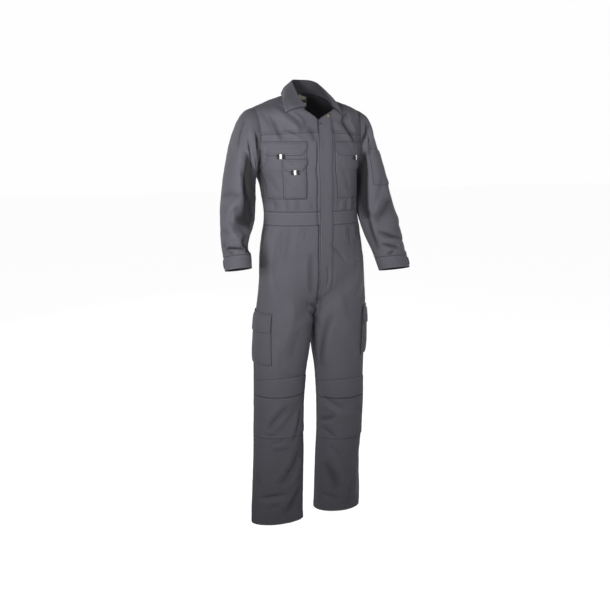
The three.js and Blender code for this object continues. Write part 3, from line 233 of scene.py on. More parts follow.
leftLegCreases = tableOf(
    foldNames,
    (60, -412, 66, -500, 7, 2, 0, 0), (110, -412, 112, -480, 6, -2.4, 0, 0),
    (136, -412, 136, -470, 6, 2.2, 0, 0), (170, -412, 168, -490, 7, -2.2, 0, 0),
    (200, -412, 196, -470, 5, 1.8, 0, 0), (20, -412, 24, -470, 6, -2, 0, 0),
    (266, -476, 204, -544, 6, -4.5, 0.3, 4), (60, -515, 172, -552, 8, 3.5, -0.3, 5),
    (230, -520, 150, -560, 10, 2, 0, 5), (273, -552, 272, -634, 7, -5, 0.2, 3),
    (250, -566, 240, -640, 9, 3, 0, 3), (194, -730, 256, -940, 11, -8, 0.3, -8),
    (172, -740, 226, -930, 12, 3.5, 0, -8), (282, -656, 246, -800, 9, -5, 0.2, 5),
    (90, -612, 116, -684, 7, 5, 0.3, 0), (70, -640, 90, -720, 8, -3, 0, 0),
    (200, -640, 130, -760, 16, -3, 0.2, 8), (120, -820, 96, -940, 12, 2.5, 0, 5),
    (248, -1054, 160, -1094, 7, -6, 0.3, 4), (246, -1082, 168, -1116, 7, 4, 0, 4),
    (264, -1146, 192, -1120, 7, -7, 0.3, -3), (258, -1160, 190, -1146, 7, 3, 0, 0),
    (258, -1170, 184, -1212, 7, -5, 0.3, 4), (150, -1212, 92, -1226, 5, -3, 0.2, 0),
    (120, -1100, 60, -1130, 8, -2.5, 0.2, 3), (215, -1243, 166, -1278, 7, -3.5, 0.3, 3),
    (235, -1312, 174, -1424, 22, -8, 0.3, 8), (196, -1300, 140, -1400, 14, 3.5, 0, 8),
    (76, -1352, 102, -1505, 8, 5, 0.3, 0), (112, -1380, 124, -1500, 9, -3.5, 0.2, 0),
    (240, -1440, 160, -1462, 9, -4, 0.3, 3), (50, -1300, 34, -1450, 9, 3, 0.3, 4),
    (-80, -412, -74, -500, 8, 2.4, 0, 0), (-150, -412, -150, -480, 8, -2.4, 0, 0),
    (-220, -412, -210, -490, 8, 2.4, 0, 0), (-90, -680, -190, -745, 9, -5, 0.3, 6),
    (-80, -720, -180, -792, 9, 3.5, 0, 6), (-80, -1060, -190, -1080, 8, -5, 0.4, 4),
    (-70, -1100, -180, -1090, 8, 4, 0, -4), (-90, -1134, -200, -1140, 8, -4.5, 0.3, 4),
    (-60, -1200, -160, -1270, 10, -4, 0.2, 5), (-60, -1310, -190, -1370, 10, -3.5, 0.2, 5),
    (-100, -1410, -220, -1430, 9, -4.5, 0.2, 4),
)
rightSleeveCreases = tableOf(
    foldNames,
    (84, 26, 116, 40, 8, -9, 0.3, 2), (66, 96, 122, 150, 5, -6, 0.4, -3),
    (62, 60, 78, 150, 7, 3.5, 0, 0), (92, 100, 126, 130, 6, 3, 0, 0),
    (34, 70, 45, 178, 5, -4, -0.4, -3), (22, 80, 34, 190, 10, 2.5, 0, -3),
    (50, 150, 86, 276, 8, 4, -0.5, -4), (84, 136, 114, 352, 30, -13, 0.65, -3),
    (90, 274, 36, 350, 7, 6, 0.4, -4), (36, 350, 114, 430, 7, 6, -0.4, -4),
    (62, 350, 156, 352, 26, -9, 0, 0), (38, 350, 80, 314, 5, -4, 0, 3),
    (40, 352, 80, 394, 5, -4, 0, -3), (5, 297, 84, 285, 7, -2.5, 0.2, 3),
    (8, 312, 70, 304, 8, 2, 0, 0), (30, 441, 118, 453, 7, -9, 0.3, 3),
    (24, 428, 100, 437, 6, 4, 0, 3), (36, 458, 66, 476, 5, -3.5, 0, 0),
    (60, 462, 120, 470, 6, 4, 0, 2), (112, 400, 150, 482, 16, -8, 0.5, 0),
    (104, 408, 150, 440, 7, 3, 0, 0), (-20, 430, 60, 440, 6, -3, 0.3, 3),
    (6, 380, 60, 396, 9, -2, 0, 3), (-130, 240, -60, 290, 9, -4.5, 0.3, 5),
    (-130, 280, -50, 316, 9, 4, 0, 4), (-120, 330, -40, 350, 8, -4, 0.2, 4),
    (-140, 400, -40, 420, 7, -5, 0.3, -4), (-130, 440, -50, 444, 6, 4, 0, 3),
    (-90, 60, -50, 150, 11, -3.5, 0.2, 6), (-120, 100, -80, 200, 11, 3, 0.2, 6),
)
leftSleeveCreases = tableOf(
    foldNames,
    (48, 64, 108, 2, 5, -9, 0.3, -3), (60, 80, 122, 18, 7, 6, 0.2, -3),
    (30, 40, 60, 20, 8, 3, 0, 0), (76, 110, 124, 60, 8, -3, 0.2, -4),
    (118, 56, 148, 300, 8, 4, -0.3, -4), (124, 22, 166, 330, 24, -12, 0.6, 0),
    (50, 304, 142, 352, 18, -4.5, 0.3, 8), (112, 284, 139, 320, 7, 3, 0, 0),
    (30, 260, 80, 300, 10, 2.5, 0, 4), (146, 378, 58, 412, 6, -6, 0.3, 4),
    (146, 400, 66, 427, 6, 5, 0, 4), (146, 422, 80, 443, 5, -6, 0.3, 3),
    (150, 440, 96, 456, 6, 4, 0, 0), (82, 444, 138, 478, 5, -5, 0.3, 0),
    (60, 430, 110, 466, 7, 3, 0, 3), (144, 288, 157, 400, 6, 3.5, 0, 0),
    (160, 300, 170, 446, 9, -6, 0, 0), (20, 372, 70, 392, 8, -3, 0.3, 4),
    (10, 424, 60, 430, 6, -4, 0.3, 4), (0, 460, 60, 458, 5, -3, 0.3, 2),
    (-130, 250, -60, 300, 9, -4.5, 0.3, 5), (-130, 290, -50, 326, 9, 4, 0, 4),
    (-120, 340, -40, 360, 8, -4, 0.2, 4), (-140, 410, -40, 430, 7, -5, 0.3, -4),
    (-130, 446, -50, 450, 6, 4, 0, 3), (-90, 60, -50, 150, 11, -3.5, 0.2, 6),
)
cuffRow = 12  # the sleeve ends and the cuff starts at this ring
lastRow = 13


def smooth(t):
    t = np.clip(t, 0, 1)
    return t * t * (3 - 2 * t)


def stack(x, y, z):
    return np.stack(np.broadcast_arrays(x, y, z), -1).astype(float)


def unit(v):
    return v / np.maximum(np.linalg.norm(v, axis=-1, keepdims=True), 1e-9)


def along(table, key, at, by="z"):  # a smooth curve through a table's rows
    xs, ys = table[by], table[key]
    if xs[-1] < xs[0]:
        xs, ys = xs[::-1], ys[::-1]
    inner = (ys[2:] - ys[:-2]) / (xs[2:] - xs[:-2])
    first = (ys[1] - ys[0]) / (xs[1] - xs[0])
    last = (ys[-1] - ys[-2]) / (xs[-1] - xs[-2])
    slope = np.concatenate([[first], inner, [last]])
    at = np.clip(at, xs[0], xs[-1])
    i = np.clip(np.searchsorted(xs, at) - 1, 0, len(xs) - 2)
    gap = xs[i + 1] - xs[i]
    t = (at - xs[i]) / gap
    t2, t3 = t * t, t * t * t
    return (
        (2 * t3 - 3 * t2 + 1) * ys[i] + (t3 - 2 * t2 + t) * slope[i] * gap
        + (3 * t2 - 2 * t3) * ys[i + 1] + (t3 - t2) * slope[i + 1] * gap
    )


def foldHeight(folds, across, down, sharpness=2.0):
    height = np.zeros(np.broadcast(across, down).shape)
    for row in zip(*(folds[name] for name in foldNames.split())):
        x, z, toX, toZ, width, rise, lean, bow = row
        dx, dz = toX - x, toZ - z
        length = np.hypot(dx, dz)
        part = ((across - x) * dx + (down - z) * dz) / length**2
        inside = np.clip(4 * part * (1 - part), 0, None)
        off = ((across - x) * dz - (down - z) * dx) / length - bow * inside
        reach = width * (1 + lean * np.sign(off))
        near = np.sqrt(off**2 + 1.2) / reach
        height += rise * np.sqrt(inside) * np.exp(-(near**sharpness))
    return height


def ripple(x, y, size, seed):  # slow uneven waves, the same each time
    draw = np.random.RandomState(seed)
    total = np.zeros(np.broadcast(x, y).shape)
    for _ in range(7):
        angle, phase = draw.uniform(0, 2 * np.pi, 2)
        pitch = size * draw.uniform(0.7, 1.6)
        total += np.sin((x * np.cos(angle) + y * np.sin(angle)) * 2 * np.pi / pitch + phase)
    return total / 7


def armholePoint(side, angle, front):
    s, c = np.sin(np.radians(angle)), np.cos(np.radians(angle))
    middle = (suit["shoulderZ"] + suit["underarm"]) / 2
    reach = (suit["shoulderZ"] - suit["underarm"]) / 2
    rounding = (suit["shoulderX"] - suit["armholeX"]) * (1 + c) / 2
    x = suit["armholeX"] + rounding - suit["armholeHollow"] * s * s
    depth = np.where(np.asarray(front) > 0, -suit["armholeFront"], suit["armholeBack"])
    return stack(side * x, depth * s, middle + reach * c)


def bodyRing(side, turn, z):
    depth = np.where(turn <= 90, along(bodySections, "front", z), along(bodySections, "back", z))
    s, c = np.sin(np.radians(turn)), np.cos(np.radians(turn))
    x = along(bodySections, "shift", z) + side * along(bodySections, "halfWidth", z) * s
    return stack(x, -depth * c, z)


def torsoPoint(side, front, u, v):
    height = suit["waistBottom"] + (suit["underarm"] - suit["waistBottom"]) * np.clip(v, 0, 1)
    lower = bodyRing(side, u * 90 if front > 0 else 180 - u * 90, height)
    rows = frontRows if front > 0 else backRows
    value = {key: along(rows, key, v, "row") for key in rows}
    edge = armholePoint(side, value["armhole"], front)
    full = np.radians(value["turn"])
    across = np.sin(u * full) / np.sin(full)
    bulge = (np.cos(u * full) - np.cos(full)) / (1 - np.cos(full))
    x = value["sway"] + side * np.maximum(0, value["x"])
    upper = stack(
        x + (edge[..., 0] - x) * across,
        edge[..., 1] + (value["y"] - edge[..., 1]) * bulge,
        value["z"] + (edge[..., 2] - value["z"]) * u + value["rise"] * 2 * u * (1 - u),
    )
    return np.where((v <= 1)[..., None], lower, upper)


def legPoint(side, turn, z):
    table = rightLeg if side < 0 else leftLeg
    value = {key: along(table, key, z) for key in table}
    s, c = np.sin(np.radians(turn)), np.cos(np.radians(turn))
    depth = np.where(s >= 0, value["front"], value["back"])
    ring = stack(value["x"] - side * value["halfWidth"] * c, value["y"] - depth * s, z)
    t = np.clip((suit["riseStart"] - z) / (suit["riseStart"] - suit["crotch"]), 0, 1)
    share = smooth(t) + (t * t - smooth(t)) * np.maximum(0, c) ** 2
    hips = bodyRing(side, turn / 2, z)
    return hips + (ring - hips) * share[..., None]


def sleevePoint(side, turn, r):
    table = rightSleeve if side < 0 else leftSleeve
    last = len(table["y"])
    wrapped = turn % 360
    halfTurn = np.where(wrapped <= 180, wrapped, 360 - wrapped)
    armhole = armholePoint(side, halfTurn, np.where(wrapped <= 180, 1, -1))
    s, c = np.sin(np.radians(turn)), np.cos(np.radians(turn))

    def ring(k):
        row = {key: column[np.clip(k, 1, last) - 1] for key, column in table.items()}
        tilt = np.radians(row["tilt"])
        x = (row["outX"] + row["inX"]) / 2 + (row["outX"] - row["inX"]) / 2 * c
        z = (row["outZ"] + row["inZ"]) / 2 + (row["outZ"] - row["inZ"]) / 2 * c
        tube = stack(side * x, row["y"] - row["half"] * np.cos(tilt) * s, z + row["half"] * np.sin(tilt) * s)
        return np.where((k <= 0)[..., None], armhole, tube)

    k = np.clip(np.floor(r), 0, last - 1).astype(int)
    t = (r - k)[..., None]
    p0, p1, p2, p3 = ring(np.maximum(k - 1, 0)), ring(k), ring(k + 1), ring(np.minimum(k + 2, last))
    m0 = (p2 - p0) * np.where(k > 0, 0.5, 1)[..., None]
    m1 = (p3 - p1) * np.where(k + 2 <= last, 0.5, 1)[..., None]
    t2, t3 = t * t, t * t * t
    return p1 * (2 * t3 - 3 * t2 + 1) + m0 * (t3 - 2 * t2 + t) + p2 * (3 * t2 - 2 * t3) + m1 * (t3 - t2)


def folded(surface, outward, stepA, stepB, lift, creased, foldShade):  # a place: (a, b) to points and normals
    def place(a, b):
        a, b = (np.array(v, float) for v in np.broadcast_arrays(a, b))
        point = surface(a, b)
        da = surface(a + stepA, b) - surface(a - stepA, b)
        db = surface(a, b + stepB) - surface(a, b - stepB)
        normal = unit(np.cross(da, db)) * outward
        return point + normal * lift(a, b, point)[..., None], normal
    # painted fold shade: each crease's height times a scale, darkening troughs and lightening ridges
    place.creased = lambda a, b: foldShade * creased(a, b, surface(a, b))
    return place


crease = {"sharpness": 1.35, "crumple": 0.5, "foldShadeRange": (-0.9, 0.2)}
openSlit = {"top": -100, "bottom": -690, "depth": 6.5, "width": 3.6}  # beside the fly's free edge


def slit(fromMiddle, z):
    centre = 4 - along(flyRows, "freeEdge", z)
    run = smooth((openSlit["top"] - z) / 60) * smooth((z - openSlit["bottom"]) / 60)
    return openSlit["depth"] * run * np.exp(-(((fromMiddle - centre) / openSlit["width"]) ** 2))


def torso(side, front):
    folds, creases = (frontFolds, frontCreases) if front > 0 else (backFolds, backCreases)

    def creased(u, v, point):
        return foldHeight(creases, side * u * suit["girth"], point[..., 2], crease["sharpness"])

    def lift(u, v, point):
        across, z = side * u * suit["girth"], point[..., 2]
        settle = smooth(v / 0.4) * smooth((1 - u) / 0.12)
        fine = creased(u, v, point)
        fine = fine + 0.9 * ripple(across, z, 70, 3 + front)
        fine = fine + crease["crumple"] * ripple(across, z, 27, 5 + front)
        fine = fine * smooth((v - 0.2) / 0.1) * smooth((1 - u) / 0.06)
        return settle * foldHeight(folds, across, z) + fine - (slit(-across, z) if side < 0 < front else 0)
    surface = lambda u, v: torsoPoint(side, front, np.clip(u, 0, 1), np.clip(v, 0, 9))
    return folded(surface, side * front, 0.01, 0.02, lift, creased, 0.1)


def leg(side):
    folds, creases = (rightLegFolds, rightLegCreases) if side < 0 else (leftLegFolds, leftLegCreases)

    def creased(turn, z, point):
        return foldHeight(creases, np.radians(180 - turn) * suit["legRadius"], z, crease["sharpness"])

    def lift(turn, z, point):
        across = np.radians(180 - turn) * suit["legRadius"]
        fine = creased(turn, z, point)
        fine = fine + 1.1 * ripple(across, z, 110, 11 + side)
        fine = fine + crease["crumple"] * ripple(across, z, 31, 13 + side)
        centre = smooth(np.abs(np.sin(np.radians(turn / 2))) / 0.1)
        settle = smooth((suit["waistBottom"] - z) / 40)
        fine = fine * centre * smooth((suit["waistBottom"] - z) / 14)
        opened = slit(np.radians(turn) * 104, z) if side < 0 else 0
        return settle * foldHeight(folds, across, z) + fine - opened
    surface = lambda turn, z: legPoint(side, turn, np.clip(z, suit["hem"], suit["waistBottom"]))
    return folded(surface, side, 1, 2, lift, creased, 0.055)


def sleeve(side):
    right = rightSleeveFolds, rightSleeveCreases
    left = leftSleeveFolds, leftSleeveCreases
    folds, creases = right if side < 0 else left

    def fromTop(turn):
        return np.radians(np.where(turn > 180, turn - 360, turn)) * suit["sleeveRadius"]

    def creased(turn, r, point):
        return foldHeight(creases, fromTop(turn), r * 40, crease["sharpness"])

    def lift(turn, r, point):
        across = fromTop(turn)
        settle = smooth(r / 1.5) * smooth((cuffRow - r) / 0.6)
        fine = creased(turn, r, point) + 0.9 * ripple(point[..., 1], point[..., 2], 80, 21 + side)
        fine = fine + crease["crumple"] * ripple(across, r * 40, 29, 23 + side)
        fading = smooth(r / 0.5) * smooth((cuffRow - r) / 0.35)
        return settle * foldHeight(folds, across, r * 40) + fading * fine
    surface = lambda turn, r: sleevePoint(side, turn, np.clip(r, 0, lastRow))
    return folded(surface, side, 2, 0.05, lift, creased, 0.14)


# Places on the suit, for what is sewn on
def solve(f, target, low, high):
    low = np.broadcast_to(low, target.shape).astype(float)
    high = np.broadcast_to(high, target.shape).astype(float)
    rising = f(high) > f(low)
    for _ in range(20):
        t = (low + high) / 2
        over = (f(t) > target) == rising
        low, high = np.where(over, low, t), np.where(over, t, high)
    return (low + high) / 2


def solveLength(ring, target):  # how far along each line of points its length reaches the target
    steps = np.linalg.norm(np.diff(ring, axis=-2), axis=-1)
    total = np.cumsum(steps, axis=-1)
    i = np.minimum((total < target[..., None]).sum(-1), steps.shape[-1] - 1)
    step = np.take_along_axis(steps, i[..., None], -1)[..., 0]
    before = np.take_along_axis(total, i[..., None], -1)[..., 0] - step
    return np.clip((i + (target - before) / step) / steps.shape[-1], 0, 1)


def onFront(side):
    surface, ts = torso(side, 1), np.linspace(0, 1, 25)

    def place(across, z):
        across, z = (np.array(v, float) for v in np.broadcast_arrays(across, z))
        u = across / suit["girth"]
        for _ in range(3):
            v = solve(lambda t: torsoPoint(side, 1, u, t)[..., 2], z, 0, 9)
            ring = torsoPoint(side, 1, np.broadcast_to(ts, v.shape + ts.shape), v[..., None] + 0 * ts)
            u = solveLength(ring, across)
        return surface(u, v)
    return place


def onLeg(side):
    surface, ts = leg(side), np.linspace(0, 1, 25)

    def place(across, z):
        across, z = (np.array(v, float) for v in np.broadcast_arrays(across, z))
        swing = np.where(across >= 0, -180, 180)
        ring = legPoint(side, 180 + swing[..., None] * ts, z[..., None] + 0 * ts)
        return surface(180 + swing * solveLength(ring, np.abs(across)), z)
    return place


def onFly(x, z):  # x from the middle of the body at that height
    x, z = (np.array(v, float) for v in np.broadcast_arrays(x, z))
    middle = np.where(z > suit["underarm"], 0, along(bodySections, "shift", z))
    points, normals = np.zeros(x.shape + (3,)), np.zeros(x.shape + (3,))
    for side in (-1, 1):
        own = (x < 0) if side < 0 else (x >= 0)
        for below in (False, True):
            pick = own & ((z < suit["waistBottom"]) == below)
            if not pick.any():
                continue
            px, pz, pm = x[pick], z[pick], middle[pick]
            if below:
                turn = solve(lambda t: side * (legPoint(side, t, pz)[..., 0] - pm), np.abs(px), 0, 90)
                points[pick], normals[pick] = leg(side)(turn, pz)
                continue
            u = np.full(px.shape, 0.1)
            for _ in range(8):
                v = solve(lambda t: torsoPoint(side, 1, u, t)[..., 2], pz, 0, 8)
                u = solve(lambda t: side * torsoPoint(side, 1, t, v)[..., 0], side * (px + pm), 0, 1)
            points[pick], normals[pick] = torso(side, 1)(u, v)
    return points, normals


# Cloth
edgeSteps = (0, 0.8, 1.8, 2.8, 4.2, 6.0, 7.4, 8.8, 10.6, 12.4, 14.4, 16.6, 19.4)


def spaced(length, cell):  # close together at both edges, then even
    steps = np.array([s for s in edgeSteps if s < length * 0.3])
    count = max(1, round((length - 2 * steps[-1]) / cell))
    middle = np.linspace(steps[-1], length - steps[-1], count + 1)
    return np.concatenate([steps[:-1], middle, (length - steps[:-1])[::-1]])


def spread(place, aSpan, bSpan, cell, closed=False):
    ts = np.linspace(0, 1, 41)
    a, b = (span[0] + (span[1] - span[0]) * ts for span in (aSpan, bSpan))
    points = place(a[None, :], b[:, None])[0]
    stepA = np.linalg.norm(np.diff(points, axis=1), axis=-1).mean(0)
    stepB = np.linalg.norm(np.diff(points, axis=0), axis=-1).mean(1)
    totalA, totalB = np.concatenate([[0], np.cumsum(stepA)]), np.concatenate([[0], np.cumsum(stepB)])
    s = np.linspace(0, totalA[-1], round(totalA[-1] / cell) + 1) if closed else spaced(totalA[-1], cell)
    t = spaced(totalB[-1], cell)
    a, b = np.interp(s, totalA, a)[None, :], np.interp(t, totalB, b)[:, None]
    points, normals = place(a, b)
    made = {
        "P": points, "N": normals, "s": s, "t": t, "width": totalA[-1], "length": totalB[-1], "closed": closed
    }
    # the painted fold shade of each point, if the place has one
    if hasattr(place, "creased"):
        made["creased"] = place.creased(*np.broadcast_arrays(a, b))
    return made


def relief(sheet, edges, seed=1):
    # edges names what happens along each one: how far the seam sinks, how much it puckers,
    # how wide the turned allowance is, whether the edge wears pale, and how much painted shade lies along it
    s, t = np.meshgrid(sheet["s"], sheet["t"])
    # painted highlight on crease ridges and painted shade in crease troughs, scaled from each crease's height
    sheet["wear_and_shading"] = np.clip(sheet.get("creased", 0 * s), *crease["foldShadeRange"])
    height = np.zeros(s.shape)
    distance = {"left": s, "right": sheet["width"] - s, "bottom": t, "top": sheet["length"] - t}
    for i, (edge, work) in enumerate(edges.items()):
        off = distance[edge]
        run = t if edge in ("left", "right") else s
        height -= work.get("sink", 0.8) * np.exp(-((off / 1.4) ** 2))
        wave = ripple(run, 0 * run, 19, seed * 10 + i) + 0.6 * ripple(run, off, 33, seed * 10 + i + 5)
        height += work.get("pucker", 0.5) * wave * np.exp(-((off / 9) ** 2))
        if "turn" in work:
            height += work.get("raise", 0.45) * smooth((work["turn"] + 0.8 - off) / 1.6)
        for row in work.get("rows", ()):
            height -= 0.22 * np.exp(-(((off - row) / 1.1) ** 2))
        sheet["wear_and_shading"] += work.get("wear_and_shading", 0) * np.exp(-(((off - 3) / 3) ** 2))
        # painted shade along the seam line and beside each stitch row
        sheet["wear_and_shading"] -= work.get("dark", 0.4) * np.exp(-((off / 1.7) ** 2))
        for row in work.get("rows", ()):
            sheet["wear_and_shading"] -= 0.3 * np.exp(-(((off - row) / 1.2) ** 2))
    sheet["P"] = sheet["P"] + sheet["N"] * height[..., None]
    return sheet


def meshOf(name, sheets, thickness, material, merge=False):
    verts, faces, uvs, wear_and_shading = [], [], [], []
    start = 0
    for sheet in sheets:
        points = sheet["P"]
        if sheet["closed"]:
            points = points[:, :-1]
        rows, cols = points.shape[:2]
        wide = cols if sheet["closed"] else cols - 1
        i, j = np.meshgrid(np.arange(rows - 1), np.arange(wide), indexing="ij")
        k = (j + 1) % cols
        corners = [i * cols + j, i * cols + k, (i + 1) * cols + k, (i + 1) * cols + j]
        quads = np.stack(corners, -1).reshape(-1, 4)
        s, t = np.meshgrid(sheet["s"], sheet["t"])
        uv = np.stack([s, t], -1) / 1000 + sheet.get("uvStart", 0)
        corner = np.stack([uv[i, j], uv[i, j + 1], uv[i + 1, j + 1], uv[i + 1, j]], -2).reshape(-1, 4, 2)
        flat = points.reshape(-1, 3)
        facing = np.cross(flat[quads[:, 1]] - flat[quads[:, 0]], flat[quads[:, 3]] - flat[quads[:, 0]])
        if (facing * sheet["N"][i, j].reshape(-1, 3)).sum() < 0:
            quads, corner = quads[:, ::-1], corner[:, ::-1]
        verts.append(flat)
        faces.append(quads + start)
        uvs.append(corner)
        wear_and_shading.append(sheet.get("wear_and_shading", np.zeros(sheet["P"].shape[:2]))[:, :cols].ravel())
        start += len(flat)
    faces, uvs = np.concatenate(faces), np.concatenate(uvs)
    mesh = bpy.data.meshes.new(name)
    mesh.vertices.add(start)
    mesh.vertices.foreach_set("co", (np.concatenate(verts) / 1000).astype(np.float32).ravel())
    mesh.loops.add(faces.size)
    mesh.loops.foreach_set("vertex_index", faces.astype(np.int32).ravel())
    mesh.polygons.add(len(faces))
    mesh.polygons.foreach_set("loop_start", np.arange(0, faces.size, 4, dtype=np.int32))
    mesh.uv_layers.new(name="cloth").uv.foreach_set("vector", uvs.astype(np.float32).ravel())
    # the attribute holds pale abrasion on edges, painted highlight on crease ridges and painted shade in
    # troughs, seams and inside
    wearAndShadingLayer = mesh.attributes.new("wear_and_shading", "FLOAT", "POINT")
    wearAndShadingLayer.data.foreach_set("value", np.concatenate(wear_and_shading).astype(np.float32))
    mesh.update(calc_edges=True)
    if merge:
        work = bmesh.new()
        work.from_mesh(mesh)
        bmesh.ops.remove_doubles(work, verts=work.verts, dist=0.00005)
        work.to_mesh(mesh)
        work.free()
    piece = bpy.data.objects.new(name, mesh)
    bpy.context.scene.collection.objects.link(piece)
    mesh.materials.append(material)
    if thickness:
        wall = piece.modifiers.new("wall", "SOLIDIFY")
        wall.thickness = thickness / 1000
        wall.offset = -1
        wall.use_even_offset = False
        bpy.context.view_layer.objects.active = piece
        piece.select_set(True)
        bpy.ops.object.modifier_apply(modifier=wall.name)
        # painted shade: the twill's inner faces take the inside value, so the inside of the suit reads
        # near-black
        if material == twill:
            inner = piece.data.attributes["wear_and_shading"].data
            for i in range(len(inner) // 2, len(inner)):
                inner[i].value = insideShade
        bpy.ops.object.shade_smooth_by_angle(angle=np.radians(48))
        piece.select_set(False)
    return piece


insideShade = -0.8  # painted shade on the inner faces of the cloth


# Width, length and area in metres, read off the finished sheets.
def flatSize(piece, sheets):
    rows = [np.linalg.norm(np.diff(sheet["P"], axis=1), axis=-1).sum(1).max() for sheet in sheets]
    columns = [np.linalg.norm(np.diff(sheet["P"], axis=0), axis=-1).sum(0).max() for sheet in sheets]
    sideBySide = 2 if len(sheets) == 2 else 1  # the back and its waistband are two sheets joined
    width = round(sideBySide * float(max(rows)) / 1000, 3)
    length = round(float(max(columns)) / 1000, 3)
    bothFaces = sum(face.area for face in piece.data.polygons)
    area = min(bothFaces / 2, width * length)
    parts = 10000 if area > 0.002 else 100000  # rounded down, more finely for labels and tabs
    return width, length, float(np.floor(area * parts)) / parts


def finishPiece(piece, nodes, slot, held="hung", restsOn=(), withPieces=(), sheets=()):
    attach(piece, "root")
    if nodes:
        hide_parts(*nodes)
    if not held:  # too narrow to be a sheet of its own
        return piece
    width, length, area = flatSize(piece, sheets)
    list(restsOn)
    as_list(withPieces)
    return piece


sewn = []  # names so far; their number seeds the small creases of the next piece


def sew(
    name, node, sheets, material, slot="twill", thickness=None, merge=False,
    held="hung", restsOn=(), withPieces=()
):
    sheets = sheets if isinstance(sheets, list) else [sheets]
    sewn.append(name)
    piece = meshOf(name, sheets, thickness or suit["cloth"], material, merge)
    nodes = [node] if isinstance(node, str) else node
    return finishPiece(piece, nodes, slot, held, restsOn, withPieces, sheets)


def pointOn(sheet, s, t):  # a place on a finished sheet, by distance from its left and bottom edges
    i = np.interp(t, sheet["t"], np.arange(len(sheet["t"])))
    j = np.interp(s, sheet["s"], np.arange(len(sheet["s"])))
    i0, j0 = np.floor(i).astype(int), np.floor(j).astype(int)
    i1, j1 = np.minimum(i0 + 1, len(sheet["t"]) - 1), np.minimum(j0 + 1, len(sheet["s"]) - 1)
    fi, fj = (i - i0)[..., None], (j - j0)[..., None]

    def blend(g):
        near = g[i0, j0] * (1 - fi) + g[i1, j0] * fi
        far = g[i0, j1] * (1 - fi) + g[i1, j1] * fi
        return near * (1 - fj) + far * fj

    return blend(sheet["P"]), unit(blend(sheet["N"]))


def edgeRow(sheet, edge, inset, start=0.0, end=1.0):
    run = sheet["length"] if edge in ("left", "right") else sheet["width"]
    along_ = np.linspace(start * run, end * run, max(3, int(run * abs(end - start) / 1.5)))
    if edge in ("left", "right"):
        across = inset if edge == "left" else sheet["width"] - inset
        return pointOn(sheet, np.full_like(along_, across), along_)
    height = inset if edge == "bottom" else sheet["length"] - inset
    return pointOn(sheet, along_, np.full_like(along_, height))


stitching = {"pitch": 3.3, "length": 2.5, "width": 0.62, "height": 0.34}
threads = {}


def stitch(region, row):
    points, normals = row
    steps = np.linalg.norm(np.diff(points, axis=0), axis=-1)
    total = np.concatenate([[0], np.cumsum(steps)])
    count = int(total[-1] / stitching["pitch"])
    if count < 2:
        return
    at = (np.arange(count) + 0.5) * total[-1] / count
    reach = stitching["length"] / 2
    sample = lambda values, where: np.stack([np.interp(where, total, values[:, k]) for k in range(3)], -1)
    head, tail, middle = sample(points, at + reach), sample(points, at - reach), sample(points, at)
    up = unit(sample(normals, at))
    side = unit(np.cross(up, head - tail)) * stitching["width"] / 2
    sink = up * 0.15
    verts = np.stack([tail - sink, head - sink, middle + side, middle - side,
                      middle + up * stitching["height"], middle - up * 0.3], 1)
    threads.setdefault(region, []).append(verts.reshape(-1, 3))


stitchFaces = np.array([
    (0, 3, 4), (3, 1, 4), (1, 2, 4), (2, 0, 4),
    (3, 0, 5), (1, 3, 5), (2, 1, 5), (0, 2, 5),
])


def sewThreads(material):
    for region, rows in threads.items():
        verts = np.concatenate(rows)
        faces = (np.arange(len(verts) // 6)[:, None, None] * 6 + stitchFaces).reshape(-1, 3)
        mesh = bpy.data.meshes.new(region)
        mesh.from_pydata(verts / 1000, [], faces.tolist())
        mesh.update()
        mesh.shade_smooth()
        piece = bpy.data.objects.new(region, mesh)
        bpy.context.scene.collection.objects.link(piece)
        mesh.materials.append(material)
        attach(piece, "root")
        print(region, len(verts) // 6, "stitches")


# Materials
def material(name, colour, roughness, **sockets):
    made = bpy.data.materials.new(name)
    made.use_nodes = True
    shader = made.node_tree.nodes["Principled BSDF"]
    shader.inputs["Base Color"].default_value = (*colour, 1)
    shader.inputs["Roughness"].default_value = roughness
    for key, value in sockets.items():
        shader.inputs[key].default_value = value
    return made, made.node_tree.nodes, made.node_tree.links, shader


def addNode(nodes, kind, **values):
    node = nodes.new(kind)
    for key, value in values.items():
        if key in node.inputs:
            node.inputs[key].default_value = value
        else:
            setattr(node, key, value)
    return node


twillLook = {
    # Colours: dye from dark to pale, a paler rubbed colour for abrasion and for painted highlight on crease
    # ridges, and a near-black for painted shade
    "dark": (0.066, 0.064, 0.078), "pale": (0.105, 0.102, 0.120), "worn": (0.15, 0.148, 0.163),
    "paintedShade": (0.007, 0.007, 0.008),
    "roughness": (0.72, 0.95), "ribs": 1.15, "ribBump": 0.00016, "slubBump": 0.0004,
}


